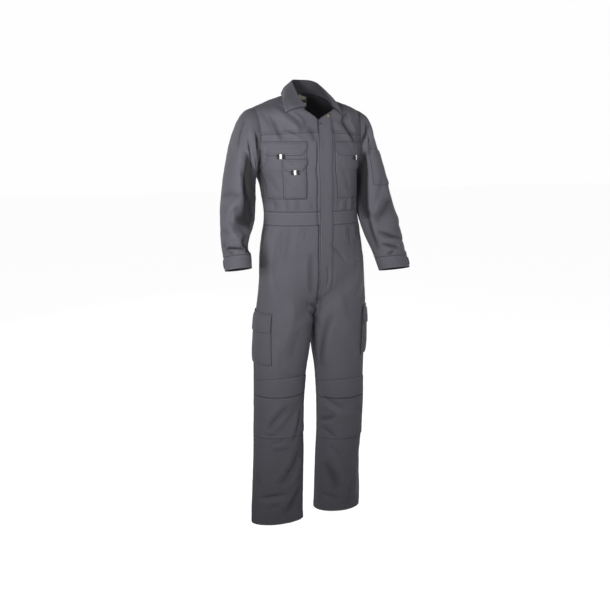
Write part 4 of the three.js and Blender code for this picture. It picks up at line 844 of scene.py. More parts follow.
def twillMaterial(name, look):
    made, nodes, links, shader = material(name, look["dark"], 0.85)
    shader.inputs["Sheen Weight"].default_value = 0.08
    shader.inputs["Sheen Roughness"].default_value = 0.45
    shader.inputs["Sheen Tint"].default_value = (0.8, 0.8, 0.9, 1)
    shader.inputs["Specular IOR Level"].default_value = 0.25
    place = addNode(nodes, "ShaderNodeTexCoord")
    weave = addNode(nodes, "ShaderNodeUVMap", uv_map="cloth")
    # the twill's ribs run up to the right
    turn = addNode(nodes, "ShaderNodeMapping")
    turn.inputs["Scale"].default_value = (1000 / look["ribs"], 1000 / look["ribs"], 1)
    links.new(weave.outputs["UV"], turn.inputs["Vector"])
    ribs = addNode(
        nodes, "ShaderNodeTexWave", wave_type="BANDS", bands_direction="DIAGONAL", wave_profile="SIN"
    )
    ribs.inputs["Scale"].default_value = 0.314
    ribs.inputs["Distortion"].default_value = 0.6
    ribs.inputs["Detail Scale"].default_value = 0.4
    links.new(turn.outputs["Vector"], ribs.inputs["Vector"])
    # slubs stretched along the weft
    long = addNode(nodes, "ShaderNodeMapping")
    long.inputs["Scale"].default_value = (90, 700, 1)
    links.new(weave.outputs["UV"], long.inputs["Vector"])
    slub = addNode(nodes, "ShaderNodeTexNoise", Scale=1.0, Detail=3.0, Roughness=0.6)
    links.new(long.outputs["Vector"], slub.inputs["Vector"])
    cloud = addNode(nodes, "ShaderNodeTexNoise", Scale=9.0, Detail=4.0, Roughness=0.62)
    links.new(place.outputs["Object"], cloud.inputs["Vector"])
    grain = addNode(nodes, "ShaderNodeTexNoise", Scale=420.0, Detail=2.0)
    links.new(place.outputs["Object"], grain.inputs["Vector"])
    # colour: cloudy dye, slubs, then the pale abrasion along edges together with painted highlight on crease
    # ridges
    mixed = addNode(nodes, "ShaderNodeMix", data_type="RGBA")
    mixed.inputs[6].default_value = (*look["dark"], 1)
    mixed.inputs[7].default_value = (*look["pale"], 1)
    sum1 = addNode(nodes, "ShaderNodeMath", operation="MULTIPLY_ADD")
    links.new(slub.outputs["Fac"], sum1.inputs[0])
    sum1.inputs[1].default_value = 0.55
    half = addNode(nodes, "ShaderNodeMath", operation="MULTIPLY")
    links.new(cloud.outputs["Fac"], half.inputs[0])
    half.inputs[1].default_value = 0.45
    links.new(half.outputs[0], sum1.inputs[2])
    links.new(sum1.outputs[0], mixed.inputs[0])
    # the attribute: positive for abrasion and painted ridge highlight, negative for painted shade
    wear_and_shading = addNode(nodes, "ShaderNodeAttribute", attribute_name="wear_and_shading")
    rubAndLight = addNode(nodes, "ShaderNodeMath", operation="MULTIPLY", use_clamp=True)
    links.new(wear_and_shading.outputs["Fac"], rubAndLight.inputs[0])
    links.new(grain.outputs["Fac"], rubAndLight.inputs[1])
    worn = addNode(nodes, "ShaderNodeMix", data_type="RGBA")
    links.new(rubAndLight.outputs[0], worn.inputs[0])
    links.new(mixed.outputs[2], worn.inputs[6])
    worn.inputs[7].default_value = (*look["worn"], 1)
    # painted shade: where the attribute is negative the colour goes towards near-black, along seams, beside
    # stitches, in crease troughs, on the collar stand and on the cloth's inside
    depth = addNode(nodes, "ShaderNodeMath", operation="MULTIPLY", use_clamp=True)
    links.new(wear_and_shading.outputs["Fac"], depth.inputs[0])
    depth.inputs[1].default_value = -1
    paintedShade = addNode(nodes, "ShaderNodeMix", data_type="RGBA")
    links.new(depth.outputs[0], paintedShade.inputs[0])
    links.new(worn.outputs[2], paintedShade.inputs[6])
    paintedShade.inputs[7].default_value = (*look["paintedShade"], 1)
    links.new(paintedShade.outputs[2], shader.inputs["Base Color"])
    rough = addNode(nodes, "ShaderNodeMapRange")
    rough.inputs["To Min"].default_value, rough.inputs["To Max"].default_value = look["roughness"]
    links.new(sum1.outputs[0], rough.inputs["Value"])
    links.new(rough.outputs["Result"], shader.inputs["Roughness"])
    fine = addNode(nodes, "ShaderNodeBump", Strength=0.6, Distance=look["ribBump"])
    links.new(ribs.outputs["Fac"], fine.inputs["Height"])
    soft = addNode(nodes, "ShaderNodeBump", Strength=0.7, Distance=look["slubBump"])
    links.new(cloud.outputs["Fac"], soft.inputs["Height"])
    links.new(soft.outputs["Normal"], fine.inputs["Normal"])
    links.new(fine.outputs["Normal"], shader.inputs["Normal"])
    return made


def wovenMaterial(name, colour, pale, pitch, roughness=0.85):  # tape and labels: a plain weave
    made, nodes, links, shader = material(name, colour, roughness)
    weave = addNode(nodes, "ShaderNodeUVMap", uv_map="cloth")
    scaled = addNode(nodes, "ShaderNodeMapping")
    scaled.inputs["Scale"].default_value = (1000 / pitch, 1000 / pitch, 1)
    links.new(weave.outputs["UV"], scaled.inputs["Vector"])
    check = addNode(nodes, "ShaderNodeTexChecker", Scale=1.0)
    check.inputs["Color1"].default_value = (*colour, 1)
    check.inputs["Color2"].default_value = (*pale, 1)
    links.new(scaled.outputs["Vector"], check.inputs["Vector"])
    links.new(check.outputs["Color"], shader.inputs["Base Color"])
    bump = addNode(nodes, "ShaderNodeBump", Strength=0.5, Distance=0.0001)
    links.new(check.outputs["Fac"], bump.inputs["Height"])
    links.new(bump.outputs["Normal"], shader.inputs["Normal"])
    return made


def metalMaterial(name, colour, roughness):
    made, nodes, links, shader = material(name, colour, roughness, Metallic=0.9)
    place = addNode(nodes, "ShaderNodeTexCoord")
    scuff = addNode(nodes, "ShaderNodeTexNoise", Scale=900.0, Detail=3.0)
    links.new(place.outputs["Object"], scuff.inputs["Vector"])
    rough = addNode(nodes, "ShaderNodeMapRange")
    rough.inputs["To Min"].default_value = roughness - 0.1
    rough.inputs["To Max"].default_value = roughness + 0.15
    links.new(scuff.outputs["Fac"], rough.inputs["Value"])
    links.new(rough.outputs["Result"], shader.inputs["Roughness"])
    bump = addNode(nodes, "ShaderNodeBump", Strength=0.3, Distance=0.00008)
    links.new(scuff.outputs["Fac"], bump.inputs["Height"])
    links.new(bump.outputs["Normal"], shader.inputs["Normal"])
    return made


def threadMaterial(name, colour):
    made, nodes, links, shader = material(name, colour, 0.6)
    shader.inputs["Sheen Weight"].default_value = 0.2
    place = addNode(nodes, "ShaderNodeTexCoord")
    twist = addNode(nodes, "ShaderNodeTexNoise", Scale=260.0, Detail=2.0)
    links.new(place.outputs["Object"], twist.inputs["Vector"])
    shade = addNode(nodes, "ShaderNodeMix", data_type="RGBA")
    shade.inputs[6].default_value = (*[c * 0.7 for c in colour], 1)
    shade.inputs[7].default_value = (*[c * 1.3 for c in colour], 1)
    links.new(twist.outputs["Fac"], shade.inputs[0])
    links.new(shade.outputs[2], shader.inputs["Base Color"])
    return made


twill = twillMaterial("dark grey twill", twillLook)
blackTape = wovenMaterial("black tape", (0.008, 0.008, 0.009), (0.014, 0.014, 0.016), 0.7)
whiteTape = wovenMaterial("white tape", (0.62, 0.62, 0.61), (0.8, 0.8, 0.79), 0.7)
labelCloth = wovenMaterial("plain label", (0.36, 0.30, 0.24), (0.46, 0.39, 0.32), 0.5)
studMetal = metalMaterial("dark stud metal", (0.16, 0.16, 0.18), 0.42)
brassMetal = metalMaterial("aged brass", (0.36, 0.27, 0.16), 0.45)
thread = threadMaterial("grey thread", (0.062, 0.061, 0.072))
print("boiler suit: materials made")

tagOf = {-1: "right", 1: "left"}
waistV = (suit["waistTop"] - suit["waistBottom"]) / (suit["underarm"] - suit["waistBottom"])
yokeRow = 5
# dark sets how much painted shade lies along each seam
seam = {"sink": 0.5, "pucker": 0.45, "dark": 0.25, "rows": (1.8,)}
felled = {"sink": 0.4, "pucker": 0.5, "turn": 8, "dark": 0.1, "rows": (1.8, 7.4)}
openEdge = {"sink": 0.3, "pucker": 0.35, "wear_and_shading": 0.3, "dark": 0.7, "rows": (2.2,)}


# The upper body
def makeBody():
    cell = suit["cell"]
    for side in (-1, 1):
        tag = tagOf[side]
        front = spread(torso(side, 1), (0, 1), (waistV, yokeRow), cell)
        underFly = {"sink": 0.6, "pucker": 0.2}
        relief(front, {"left": underFly, "right": seam, "bottom": seam, "top": seam}, 2 + side)
        sew(f"front_panel_{tag}", f"front_{tag}", front, twill)
        yoke = spread(torso(side, 1), (0, 1), (yokeRow, 9), cell)
        relief(yoke, {"left": seam, "right": seam, "bottom": felled, "top": seam}, 5 + side)
        sew(f"yoke_panel_{tag}", f"front_yoke_{tag}", yoke, twill)
        stitch("body_stitching", edgeRow(yoke, "bottom", 1.8))
        stitch("body_stitching", edgeRow(yoke, "bottom", 7.4))
        for part in (front, yoke):
            stitch("body_stitching", edgeRow(part, "right", 1.8))
            stitch("body_stitching", edgeRow(part, "right", 7.4))
        band = spread(torso(side, 1), (0, 1), (0, waistV), cell)
        rubbed = openEdge | {"wear_and_shading": 0.4}
        relief(band, {"top": rubbed, "bottom": rubbed, "right": seam}, 8 + side)
        sew(f"waist_panel_{tag}", f"waistband_front_{tag}", band, twill)
        for edge in ("top", "bottom"):
            for inset in (2.2, 7.0):
                stitch("body_stitching", edgeRow(band, edge, inset))
    halves = []
    for side in (-1, 1):
        half = spread(torso(side, -1), (0, 1), (waistV, 9), cell)
        relief(half, {"right": seam, "bottom": seam, "top": felled}, 15)
        halves.append(half)
        for inset in (1.8, 7.4):
            stitch("body_stitching", edgeRow(half, "top", inset))
    sew("back_panel", "back", halves, twill, merge=True)
    bands = []
    for side in (-1, 1):
        band = spread(torso(side, -1), (0, 1), (0, waistV), cell)
        relief(band, {"top": openEdge | {"wear_and_shading": 0.4}, "bottom": openEdge | {"wear_and_shading": 0.4}, "right": seam}, 18)
        bands.append(band)
        for edge in ("top", "bottom"):
            for inset in (2.2, 7.0):
                stitch("body_stitching", edgeRow(band, edge, inset))
    sew("waist_panel_back", "waistband_back", bands, twill, merge=True)
    print("boiler suit: body")


def hemRaise(side, turn, z):
    outward = (1 - np.cos(np.radians(turn))) / 2
    raised = 2 + 13 * outward if side < 0 else 9 - 7 * outward
    return raised * np.clip((z + 1300) / (suit["hem"] + 1300), 0, 1)


def makeLegs():
    cell = suit["cell"]
    for side in (-1, 1):
        tag = tagOf[side]
        place = leg(side)
        surface = lambda turn, z: place(turn, z + hemRaise(side, turn, z))
        surface.creased = place.creased
        for name, turns in (("front", (0, 180)), ("back", (180, 360))):
            sheet = spread(surface, turns, (suit["waistBottom"], suit["hem"]), cell)
            hem = {"sink": 0.2, "pucker": 0.6, "turn": 24, "raise": 0.7, "wear_and_shading": 0.8, "rows": ()}
            side1, side2 = ("left", "right") if name == "back" else ("right", "left")
            relief(sheet, {side1: felled, side2: seam, "bottom": seam, "top": hem}, 30 + side)
            sew(f"leg_panel_{name}_{tag}", f"leg_{name}_{tag}", sheet, twill)
            stitch("leg_stitching", edgeRow(sheet, "top", 22.5))
            for inset in (1.8, 7.4):
                stitch("leg_stitching", edgeRow(sheet, side1, inset))
            stitch("leg_stitching", edgeRow(sheet, side2, 1.8))
    print("boiler suit: legs")


def makeSleeves():
    for side in (-1, 1):
        tag = tagOf[side]
        arm = spread(sleeve(side), (0, 360), (0, cuffRow), suit["cell"], closed=True)
        relief(arm, {"bottom": felled | {"pucker": 0.8}, "top": {"sink": 1.2, "pucker": 1.2}}, 40 + side)
        sew(f"sleeve_panel_{tag}", [f"sleeve_front_{tag}", f"sleeve_back_{tag}"], arm, twill)
        for inset in (1.8, 7.4):
            stitch("sleeve_stitching", edgeRow(arm, "bottom", inset))
        cuff = spread(sleeve(side), (0, 360), (cuffRow, lastRow), 4.0, closed=True)
        relief(cuff, {"bottom": openEdge | {"sink": 0.9}, "top": openEdge}, 44 + side)
        sew(f"cuff_band_{tag}", f"cuff_{tag}", cuff, twill, thickness=suit["double"])
        for edge in ("bottom", "top"):
            for inset in (2.2, 7.0):
                stitch("sleeve_stitching", edgeRow(cuff, edge, inset))
    print("boiler suit: sleeves")


# Pieces sewn on
def ask(value, t):
    return value(t) if callable(value) else value + 0 * t


def patchSheet(place, shape, cell=3.6):
    # s runs from the left edge to the right one, t from the bottom to the top
    def surface(s, t):
        s, t = (np.array(v, float) for v in np.broadcast_arrays(s, t))
        left, right = ask(shape["left"], t), ask(shape["right"], t)
        bottom, top = ask(shape["bottom"], s), ask(shape["top"], s)
        point, normal = place(left + (right - left) * s, bottom + (top - bottom) * t)
        rise = ask(shape.get("lift", 0.5), s) + shape.get("thickness", suit["cloth"])
        if "puff" in shape:
            rise = rise + shape["puff"](s, t)
        return point + normal * rise[..., None], normal

    # a patch carries the painted fold shade of the cloth below it
    if hasattr(place, "creased"):
        surface.creased = lambda s, t: place.creased(
            ask(shape["left"], t) * (1 - s) + ask(shape["right"], t) * s,
            ask(shape["bottom"], s) * (1 - t) + ask(shape["top"], s) * t)
    return spread(surface, (0, 1), (0, 1), cell)


def over(place, shape):  # the outer face of one patch, as the place for the next
    def surface(a, b):
        a, b = (np.array(v, float) for v in np.broadcast_arrays(a, b))
        low, high = ask(shape["bottom"], np.array(0.5)), ask(shape["top"], np.array(0.5))
        t = np.clip((b - low) / (high - low), 0, 1)
        left, right = ask(shape["left"], t), ask(shape["right"], t)
        s = np.clip((a - left) / (right - left), 0, 1)
        point, normal = place(a, b)
        rise = ask(shape.get("lift", 0.5), s) + shape.get("thickness", suit["cloth"])
        if "puff" in shape:
            rise = rise + shape["puff"](s, t)
        return point + normal * rise[..., None], normal
    return surface


def pillow(s, t, power):
    return np.maximum(0, 16 * s * (1 - s) * t * (1 - t)) ** power


def clipped(z, corner, drop):
    return lambda s: z + drop * np.maximum(0, np.maximum(1 - s / corner, 1 - (1 - s) / corner))


def flapPuff(height):
    return lambda s, t: height * np.sqrt(np.maximum(0, (1 - t) * np.sin(np.pi * np.clip(s, 0, 1))))


chestPocket = {
    "inner": 46, "outer": 202, "flapTop": -130, "flapBottom": -176, "bagTop": -150, "bagBottom": -320
}
phonePocket = {
    "inner": 48, "outer": 128, "flapTop": -186, "flapBottom": -223, "bagTop": -200, "bagBottom": -317
}
tabSize = {"width": 25, "length": 15, "band": 7}
sides = ("left", "right", "bottom", "top")
# their dark value is painted shade along pocket and flap edges
pocketEdge = {"sink": 0.4, "pucker": 0.35, "wear_and_shading": 0.25, "dark": 0.95, "rows": (2.0, 7.4)}
pocketEdges = {edge: pocketEdge for edge in sides[:3]}
pocketMouth = {"top": {"sink": 0.2, "pucker": 0.3, "turn": 20, "wear_and_shading": 0.4}}
flapEdge = {"sink": 0.45, "pucker": 0.45, "wear_and_shading": 0.3, "dark": 0.8, "rows": (2.0, 7.4)}
flapEdges = {edge: flapEdge for edge in sides[:3]} | {"top": {"sink": 0.5, "dark": 0.3, "rows": (2.0, 7.4)}}


def sewOn(name, node, place, shape, edges, restsOn, rows=(), region="pocket_stitching", **options):
    sheet = patchSheet(place, shape)
    relief(sheet, edges, len(sewn) + 3)
    options = {"material": twill, "held": "laid", "restsOn": restsOn} | options
    piece = sew(name, node, sheet, thickness=shape.get("thickness"), **options)
    for edge, inset in rows:
        stitch(region, edgeRow(sheet, edge, inset))
    return piece


def pullTab(number, place, across, z, restsOn):
    tab = {"left": across - tabSize["width"] / 2, "right": across + tabSize["width"] / 2,
           "bottom": z - tabSize["length"], "top": z, "thickness": 1.6, "lift": 0.6}
    name = f"pull_tab_{number}"
    plain = {edge: {"sink": 0.4, "pucker": 0, "wear_and_shading": 0} for edge in ("left", "right", "bottom", "top")}
    band = tab | {"left": across - tabSize["band"] / 2, "right": across + tabSize["band"] / 2,
                  "lift": 0.2, "thickness": 0.7}
    stripe = sewOn(f"tape_{name}_band", f"{name}_band", over(place, tab), band, plain, (),
                   material=whiteTape, slot="white_tape", held=None)
    sewOn(f"tape_{name}", name, place, tab, plain, restsOn, material=blackTape, slot="black_tape",
          held="folded", withPieces=[stripe])


around = [(edge, inset) for edge in ("left", "right", "bottom") for inset in (2.0, 7.4)]


def makeChestPockets():
    for side in (-1, 1):
        tag, pocket = tagOf[side], chestPocket
        shift = 10 if side > 0 else 0
        widen = 9 if side < 0 else 3
        bag = {"left": lambda t: pocket["inner"] + shift + widen * (1 - t), "right": pocket["outer"],
               "bottom": pocket["bagBottom"], "top": pocket["bagTop"], "lift": 0.5,
               "puff": lambda s, t: 4.6 * pillow(s, t, 0.45)}
        front = onFront(side)
        sewOn(f"chest_pocket_{tag}", f"chest_bag_{tag}", front, bag, pocketEdges | pocketMouth,
              [f"front_panel_{tag}"], around)
        onBag = over(front, bag)
        if side < 0:
            channel = (150, 187, -196, -196), (150, 187, -215, -215), (150, 150, -196, -215)
            for start, end, top, bottom in channel:
                steps = np.linspace(0, 1, 20)
                stitch("pocket_stitching", onBag(start + (end - start) * steps, top + (bottom - top) * steps))
            heights = np.linspace(-120, -362, 160)
            stitch("body_stitching", front(32 + 0 * heights, heights))
        flap = {"left": pocket["inner"] + shift, "right": pocket["outer"],
                "bottom": clipped(pocket["flapBottom"], 0.13, 20), "top": pocket["flapTop"],
                "lift": 0.7, "thickness": suit["double"], "puff": flapPuff(1.8)}
        sewOn(f"chest_cover_{tag}", f"chest_flap_{tag}", onBag, flap, flapEdges,
              [f"chest_pocket_{tag}"], around + [("top", 2.0), ("top", 7.4)])
        onFlap = over(onBag, flap | {"bottom": pocket["flapBottom"]})
        if side > 0:
            pullTab(3, onFlap, 147, pocket["flapBottom"] + 1, [f"chest_cover_{tag}"])
            continue
        phone = phonePocket
        phoneBag = {"left": lambda t: phone["inner"] + 9 * (1 - t),
                    "right": lambda t: phone["outer"] + 6 * (1 - t),
                    "bottom": phone["bagBottom"], "top": phone["bagTop"], "lift": 0.5,
                    "puff": lambda s, t: 4.4 * pillow(s, t, 0.45)}
        chestPiece = [f"chest_pocket_{tag}"]
        sewOn("phone_pocket", "phone_bag", onBag, phoneBag, pocketEdges | pocketMouth, chestPiece, around)
        phoneFlap = {"left": phone["inner"] - 1, "right": phone["outer"] + 1,
                     "bottom": clipped(phone["flapBottom"], 0.22, 20), "top": phone["flapTop"],
                     "lift": 0.7, "thickness": suit["double"], "puff": flapPuff(2.6)}
        onPhone = over(onBag, phoneBag)
        sewOn("phone_cover", "phone_flap", onPhone, phoneFlap, flapEdges, ["phone_pocket"], around)
        pullTab(1, onFlap, 133, pocket["flapBottom"] + 5, [f"chest_cover_{tag}"])
        pullTab(2, over(onPhone, phoneFlap | {"bottom": phone["flapBottom"]}), 88, phone["flapBottom"] + 4,
                ["phone_cover"])
    print("boiler suit: chest pockets")


def makeFly():
    height = lambda t: -680 + 619 * t
    shape = {"left": lambda t: along(flyRows, "freeEdge", height(t)),
             "right": lambda t: along(flyRows, "sewnEdge", height(t)),
             "bottom": lambda s: -680 + 34 * s, "top": lambda s: -61 + 24 * s,
             "lift": lambda s: 0.8 + 2.4 * np.maximum(0, 1 - s) ** 8, "thickness": suit["double"]}
    edges = {"left": {"sink": 0.4, "pucker": 0.7, "wear_and_shading": 0.3, "dark": 0.9, "rows": (2.2,)},
             "right": {"sink": 0.6, "pucker": 0.4, "rows": (2.2, 8)}, "top": openEdge, "bottom": openEdge}
    sewOn("fly_placket", "fly", onFly, shape, edges, ["front_panel_left"],
          [("left", 2.2), ("left", 26), ("right", 2.2), ("right", 8), ("bottom", 3), ("top", 3)],
          "body_stitching")
    print("boiler suit: fly")


collarRows = tableOf(
    "row foldX foldY foldZ edgeX edgeY edgeZ",
    (0, 50, -91, -16, 108, -86, -36), (1, 56, -72, 2, 106, -72, -21), (2, 57, -50, 21, 101, -46, 2),
    (3, 54, -25, 41, 91, -17, 14), (4, 50, 0, 60, 82, 10, 22), (5, 45, 22, 70, 72, 44, 31),
    (6, 28, 43, 77, 46, 69, 23), (7, 0, 54, 78, 0, 81, 22),
)
leftLeafEdge = tableOf(
    "row x y z", (0, 108, -93, -55), (1, 100, -90, -37), (2, 92, -77, -16), (3, 86, -42, 6),
    (4, 82, 6, 22), (5, 72, 44, 31), (6, 46, 69, 23), (7, 0, 81, 22),
)


# Where row k of the collar is sewn on: 0 in front, 4 at the shoulder, 7 at the back
def neckline(side, k):
    front = torsoPoint(side, 1, 0 * k, 7 + k / 2)
    back = torsoPoint(side, -1, 0 * k, 9 - (k - 4) * 2 / 3)
    return np.where((k <= 4)[..., None], front, back)


def makeCollar():
    def lines(side, k):
        column = lambda key: along(collarRows, key, k, "row")
        middle = (neckline(1, k) + neckline(-1, k))[..., 0] / 2
        seamLine = neckline(side, k) + stack(0 * k, 0 * k, 0.7 - 1.6 * smooth((k - 3) / 1.5))
        fold = stack(middle + side * column("foldX"), column("foldY"), column("foldZ"))
        edge = stack(side * column("edgeX"), column("edgeY"), column("edgeZ"))
        if side > 0:
            edge = stack(*(along(leftLeafEdge, key, k, "row") for key in "xyz"))
        out = unit((edge - seamLine) * (1, 1, 0))
        roll = np.minimum(1, k / 1.5)[..., None]
        rise = unit(out * roll + stack(0 * k, roll[..., 0] - 1, 0.6 + 0 * k))
        return np.stack([
            seamLine, seamLine + (fold - seamLine) * 0.55 - out * 2.5 * roll, fold - out * 3.3,
            fold + (0, 0, 2), fold + out * 3.3, fold + (edge - fold) * 0.5 + rise * 7,
            fold + (edge - fold) * 0.8 + rise * 4, edge,
        ], -2)

    last = 7
    ks = np.linspace(0, last, 57)
    net = np.concatenate([lines(-1, ks), lines(1, ks[:-1][::-1])])

    def surface(a, b):  # a runs along the collar, b across it
        a, b = (np.array(v, float) for v in np.broadcast_arrays(a, b))
        i = np.clip(np.floor(a), 0, len(net) - 2).astype(int)
        f = (a - i)[..., None, None]
        line = net[i] * (1 - f) + net[i + 1] * f
        k = np.clip(np.floor(b), 0, 6).astype(int)
        t = (b - k)[..., None]
        pick = lambda n: np.take_along_axis(line, np.clip(n, 0, 7)[..., None, None], -2)[..., 0, :]
        p0, p1, p2, p3 = pick(k - 1), pick(k), pick(k + 1), pick(k + 2)
        m0, m1 = (p2 - p0) / 2, (p3 - p1) / 2
        t2, t3 = t * t, t * t * t
        return p1 * (2 * t3 - 3 * t2 + 1) + m0 * (t3 - 2 * t2 + t) + p2 * (3 * t2 - 2 * t3) + m1 * (t3 - t2)

    top = len(net) - 1
    bounded = lambda a, b: surface(np.clip(a, 0, top), np.clip(b, 0, 7))
    lift = lambda a, b, p: 0.5 * ripple(a * 6, b * 20, 60, 61) * smooth(b / 1.5)
    stand = lambda a, b, p: -4.6 * smooth((3.2 - b) / 0.8)  # painted shade on the collar's stand, below row 3 across the collar
    place = folded(bounded, 1, 0.4, 0.05, lift, stand, 0.14)
    sheet = spread(place, (0, top), (0, 7), 3.4)
    relief(sheet, {"left": openEdge, "right": openEdge, "top": openEdge | {"wear_and_shading": 0.9, "rows": (5,)}}, 62)
    sew("collar_leaf", "collar", sheet, twill, thickness=2.0, held="folded", restsOn=["back_panel"])
    stitch("body_stitching", edgeRow(sheet, "top", 5))
    for edge in ("left", "right"):
        stitch("body_stitching", edgeRow(sheet, edge, 5, 0.3, 1))
    print("boiler suit: collar")


cargoPocket = {"front": 72, "back": -112, "flapTop": -714, "flapBottom": -781,
               "bagTop": -726, "bagBottom": -896,
               "depth": {-1: 5, 1: 10}}
kneePocket = {-1: {"bandTop": -940, "opening": -1012, "bottom": -1163, "lift": 1.4},
              1: {"bandTop": -976, "opening": -1054, "bottom": -1212, "lift": 2.6}}


cuffStrap = {-1: (-104, -8), 1: (-62, 34)}  # from and to, in degrees round the cuff from its top line


def makeLimbPieces():
    for side in (-1, 1):
        tag, thigh, pocket = tagOf[side], onLeg(side), cargoPocket
        depth = pocket["depth"][side]
        legPanels = [f"leg_panel_front_{tag}", f"leg_panel_back_{tag}"]
        bag = {"left": pocket["back"], "right": lambda t: pocket["front"] + 10 * (1 - t),
               "bottom": pocket["bagBottom"], "top": pocket["bagTop"], "lift": 0.6,
               "puff": lambda s, t: depth * pillow(s, t, 0.3)}
        bagEdges = pocketEdges | pocketMouth
        sewOn(f"cargo_pocket_{tag}", f"cargo_bag_{tag}", thigh, bag, bagEdges, legPanels, around)
        flap = {"left": pocket["back"], "right": pocket["front"] + 1, "bottom": pocket["flapBottom"],
                "top": pocket["flapTop"], "lift": 0.8, "thickness": suit["double"],
                "puff": flapPuff(0.2 * depth)}
        sewOn(f"cargo_cover_{tag}", f"cargo_flap_{tag}", over(thigh, bag), flap, flapEdges,
              [f"cargo_pocket_{tag}"], around + [("top", 2.0), ("top", 7.4)])
        knee, place = kneePocket[side], leg(side)
        wave = lambda share: lambda s: 0.6 + share * knee["lift"] * np.sin(np.pi * np.clip(s, 0, 1))
        band = {"left": 3, "right": 177, "bottom": knee["opening"] + 2, "lift": wave(0.4),
                "top": lambda s: knee["bandTop"] - 22 * (2 * s - 1) ** 2}
        edges = {"top": openEdge, "bottom": openEdge | {"turn": 22}, "left": seam, "right": seam}
        sewOn(f"knee_strip_{tag}", f"knee_band_{tag}", place, band, edges, legPanels,
              [("top", 2.2), ("top", 7.4), ("bottom", 2.2)], "leg_stitching")
        pad = {"left": 3, "right": 177, "bottom": knee["bottom"], "top": knee["opening"], "lift": wave(0.9)}
        sewOn(f"knee_pouch_{tag}", f"knee_pocket_{tag}", place, pad, edges, legPanels,
              [("top", 2.2), ("top", 18), ("bottom", 2.2), ("bottom", 7.4)], "leg_stitching")
        strap = {"left": cuffStrap[side][0], "right": cuffStrap[side][1], "bottom": 12.78, "top": 12.2,
                 "lift": 0.9, "thickness": suit["double"]}
        tabEdges = {edge: openEdge | {"wear_and_shading": 1.0} for edge in ("left", "right", "bottom", "top")}
        sewOn(f"cuff_strap_{tag}", f"cuff_tab_{tag}", sleeve(side), strap, tabEdges, [f"cuff_band_{tag}"],
              [(edge, 2.2) for edge in tabEdges], "sleeve_stitching")
    pen = {"left": 25, "right": lambda t: 109 - 11 * t,
           "bottom": lambda s: 6.78 - 0.9 * s * s, "top": lambda s: 4.41 - 2.61 * s * s,
           "lift": 0.6, "puff": lambda s, t: 3 * pillow(s, t, 0.4)}
    sewOn("pen_pocket", "sleeve_pocket", sleeve(1), pen, pocketEdges | pocketMouth, ["sleeve_panel_left"],
          around + [("top", 3), ("top", 18)], "sleeve_stitching")
    print("boiler suit: pockets, knees and cuff straps")


# Neck: labels, hanger loop and studs
def insideBack(x, z):
    x, z = (np.array(v, float) for v in np.broadcast_arrays(x, z))
    points, normals = np.zeros(x.shape + (3,)), np.zeros(x.shape + (3,))
    for side in (-1, 1):
        own = (x < 0) if side < 0 else (x >= 0)
        px, pz = x[own], z[own]
        if not own.any():
            continue
        v = solve(lambda t: torsoPoint(side, -1, np.full(t.shape, 0.1), t)[..., 2], pz, 1, 7)
        u = solve(lambda t: side * torsoPoint(side, -1, t, v)[..., 0], np.abs(px), 0, 1)
        points[own], normals[own] = torso(side, -1)(u, v)
    return points, -normals


labels = {"neck_label": (-28, 30, 15, 29, 1.2), "care_label": (14, 36, -18, 11, 1.0)}
hangerLoop = {"left": -33, "right": 36, "top": 25, "sag": 11, "standOff": 9, "width": 10, "thickness": 1.0}


def makeLabels():
    plain = {edge: {"sink": 0.1, "pucker": 0.3, "wear_and_shading": 0} for edge in ("left", "right", "bottom", "top")}
    for name, (left, right, bottom, top, lift) in labels.items():
        shape = {"left": left, "right": right, "bottom": bottom, "top": top,
                 "lift": suit["cloth"] + lift, "thickness": 0.5}
        own = name == "neck_label"
        sewOn(f"plain_{name}", name, insideBack, shape, plain, ["back_panel"],
              material=labelCloth if own else whiteTape, slot="label" if own else "white_tape")
    loop = hangerLoop
    sag = lambda s: loop["sag"] * np.sin(np.pi * np.clip(s, 0, 1))
    bow = lambda s: loop["standOff"] * np.sin(np.pi * np.clip(s, 0, 1)) ** 0.7
    strap = {"left": loop["left"], "right": loop["right"], "thickness": loop["thickness"],
             "bottom": lambda s: loop["top"] - loop["width"] - sag(s), "top": lambda s: loop["top"] - sag(s),
             "lift": lambda s: suit["cloth"] + 2.4 + bow(s)}
    sewOn("hanger_loop", [], insideBack, strap, plain, ["back_panel"], [("bottom", 2), ("top", 2)],
          "body_stitching", held="hung")
    print("boiler suit: labels and hanger loop")


def stud(name, node, x, z, radius, lift, metal):
    point, normal = onFly(np.array([float(x)]), np.array([float(z)]))
    spot, up = Vector(point[0]) / 1000, Vector(normal[0])
    bpy.ops.object.select_all(action="DESELECT")
    bpy.ops.mesh.primitive_cylinder_add(
        vertices=40, radius=radius / 1000, depth=0.0012, location=(0, 0, 0.0006)
    )
    piece = bpy.context.active_object
    piece.name = piece.data.name = name
    bpy.ops.object.mode_set(mode="EDIT")
    work = bmesh.from_edit_mesh(piece.data)
    for face in work.faces:
        face.select = face.normal.z > 0.9
    work.select_flush_mode()
    bmesh.update_edit_mesh(piece.data)
    bpy.ops.mesh.inset(thickness=radius * 0.0003)
    bpy.ops.transform.translate(value=(0, 0, 0.0007))
    bpy.ops.mesh.inset(thickness=radius * 0.00012)
    bpy.ops.transform.translate(value=(0, 0, -0.0007))
    bpy.ops.mesh.inset(thickness=radius * 0.0002)
    bpy.ops.object.mode_set(mode="OBJECT")
    bevel = piece.modifiers.new("edges", "BEVEL")
    bevel.width, bevel.segments, bevel.limit_method = 0.0003, 3, "ANGLE"
    bpy.ops.object.modifier_apply(modifier=bevel.name)
    bpy.ops.object.shade_smooth_by_angle(angle=np.radians(40))
    place = Matrix.Translation(spot + up * (lift / 1000)) @ up.to_track_quat("Z", "Y").to_matrix().to_4x4()
    piece.data.transform(place)
    piece.select_set(False)
    piece.data.materials.append(metal)
    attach(piece, "root")
    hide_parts(node)


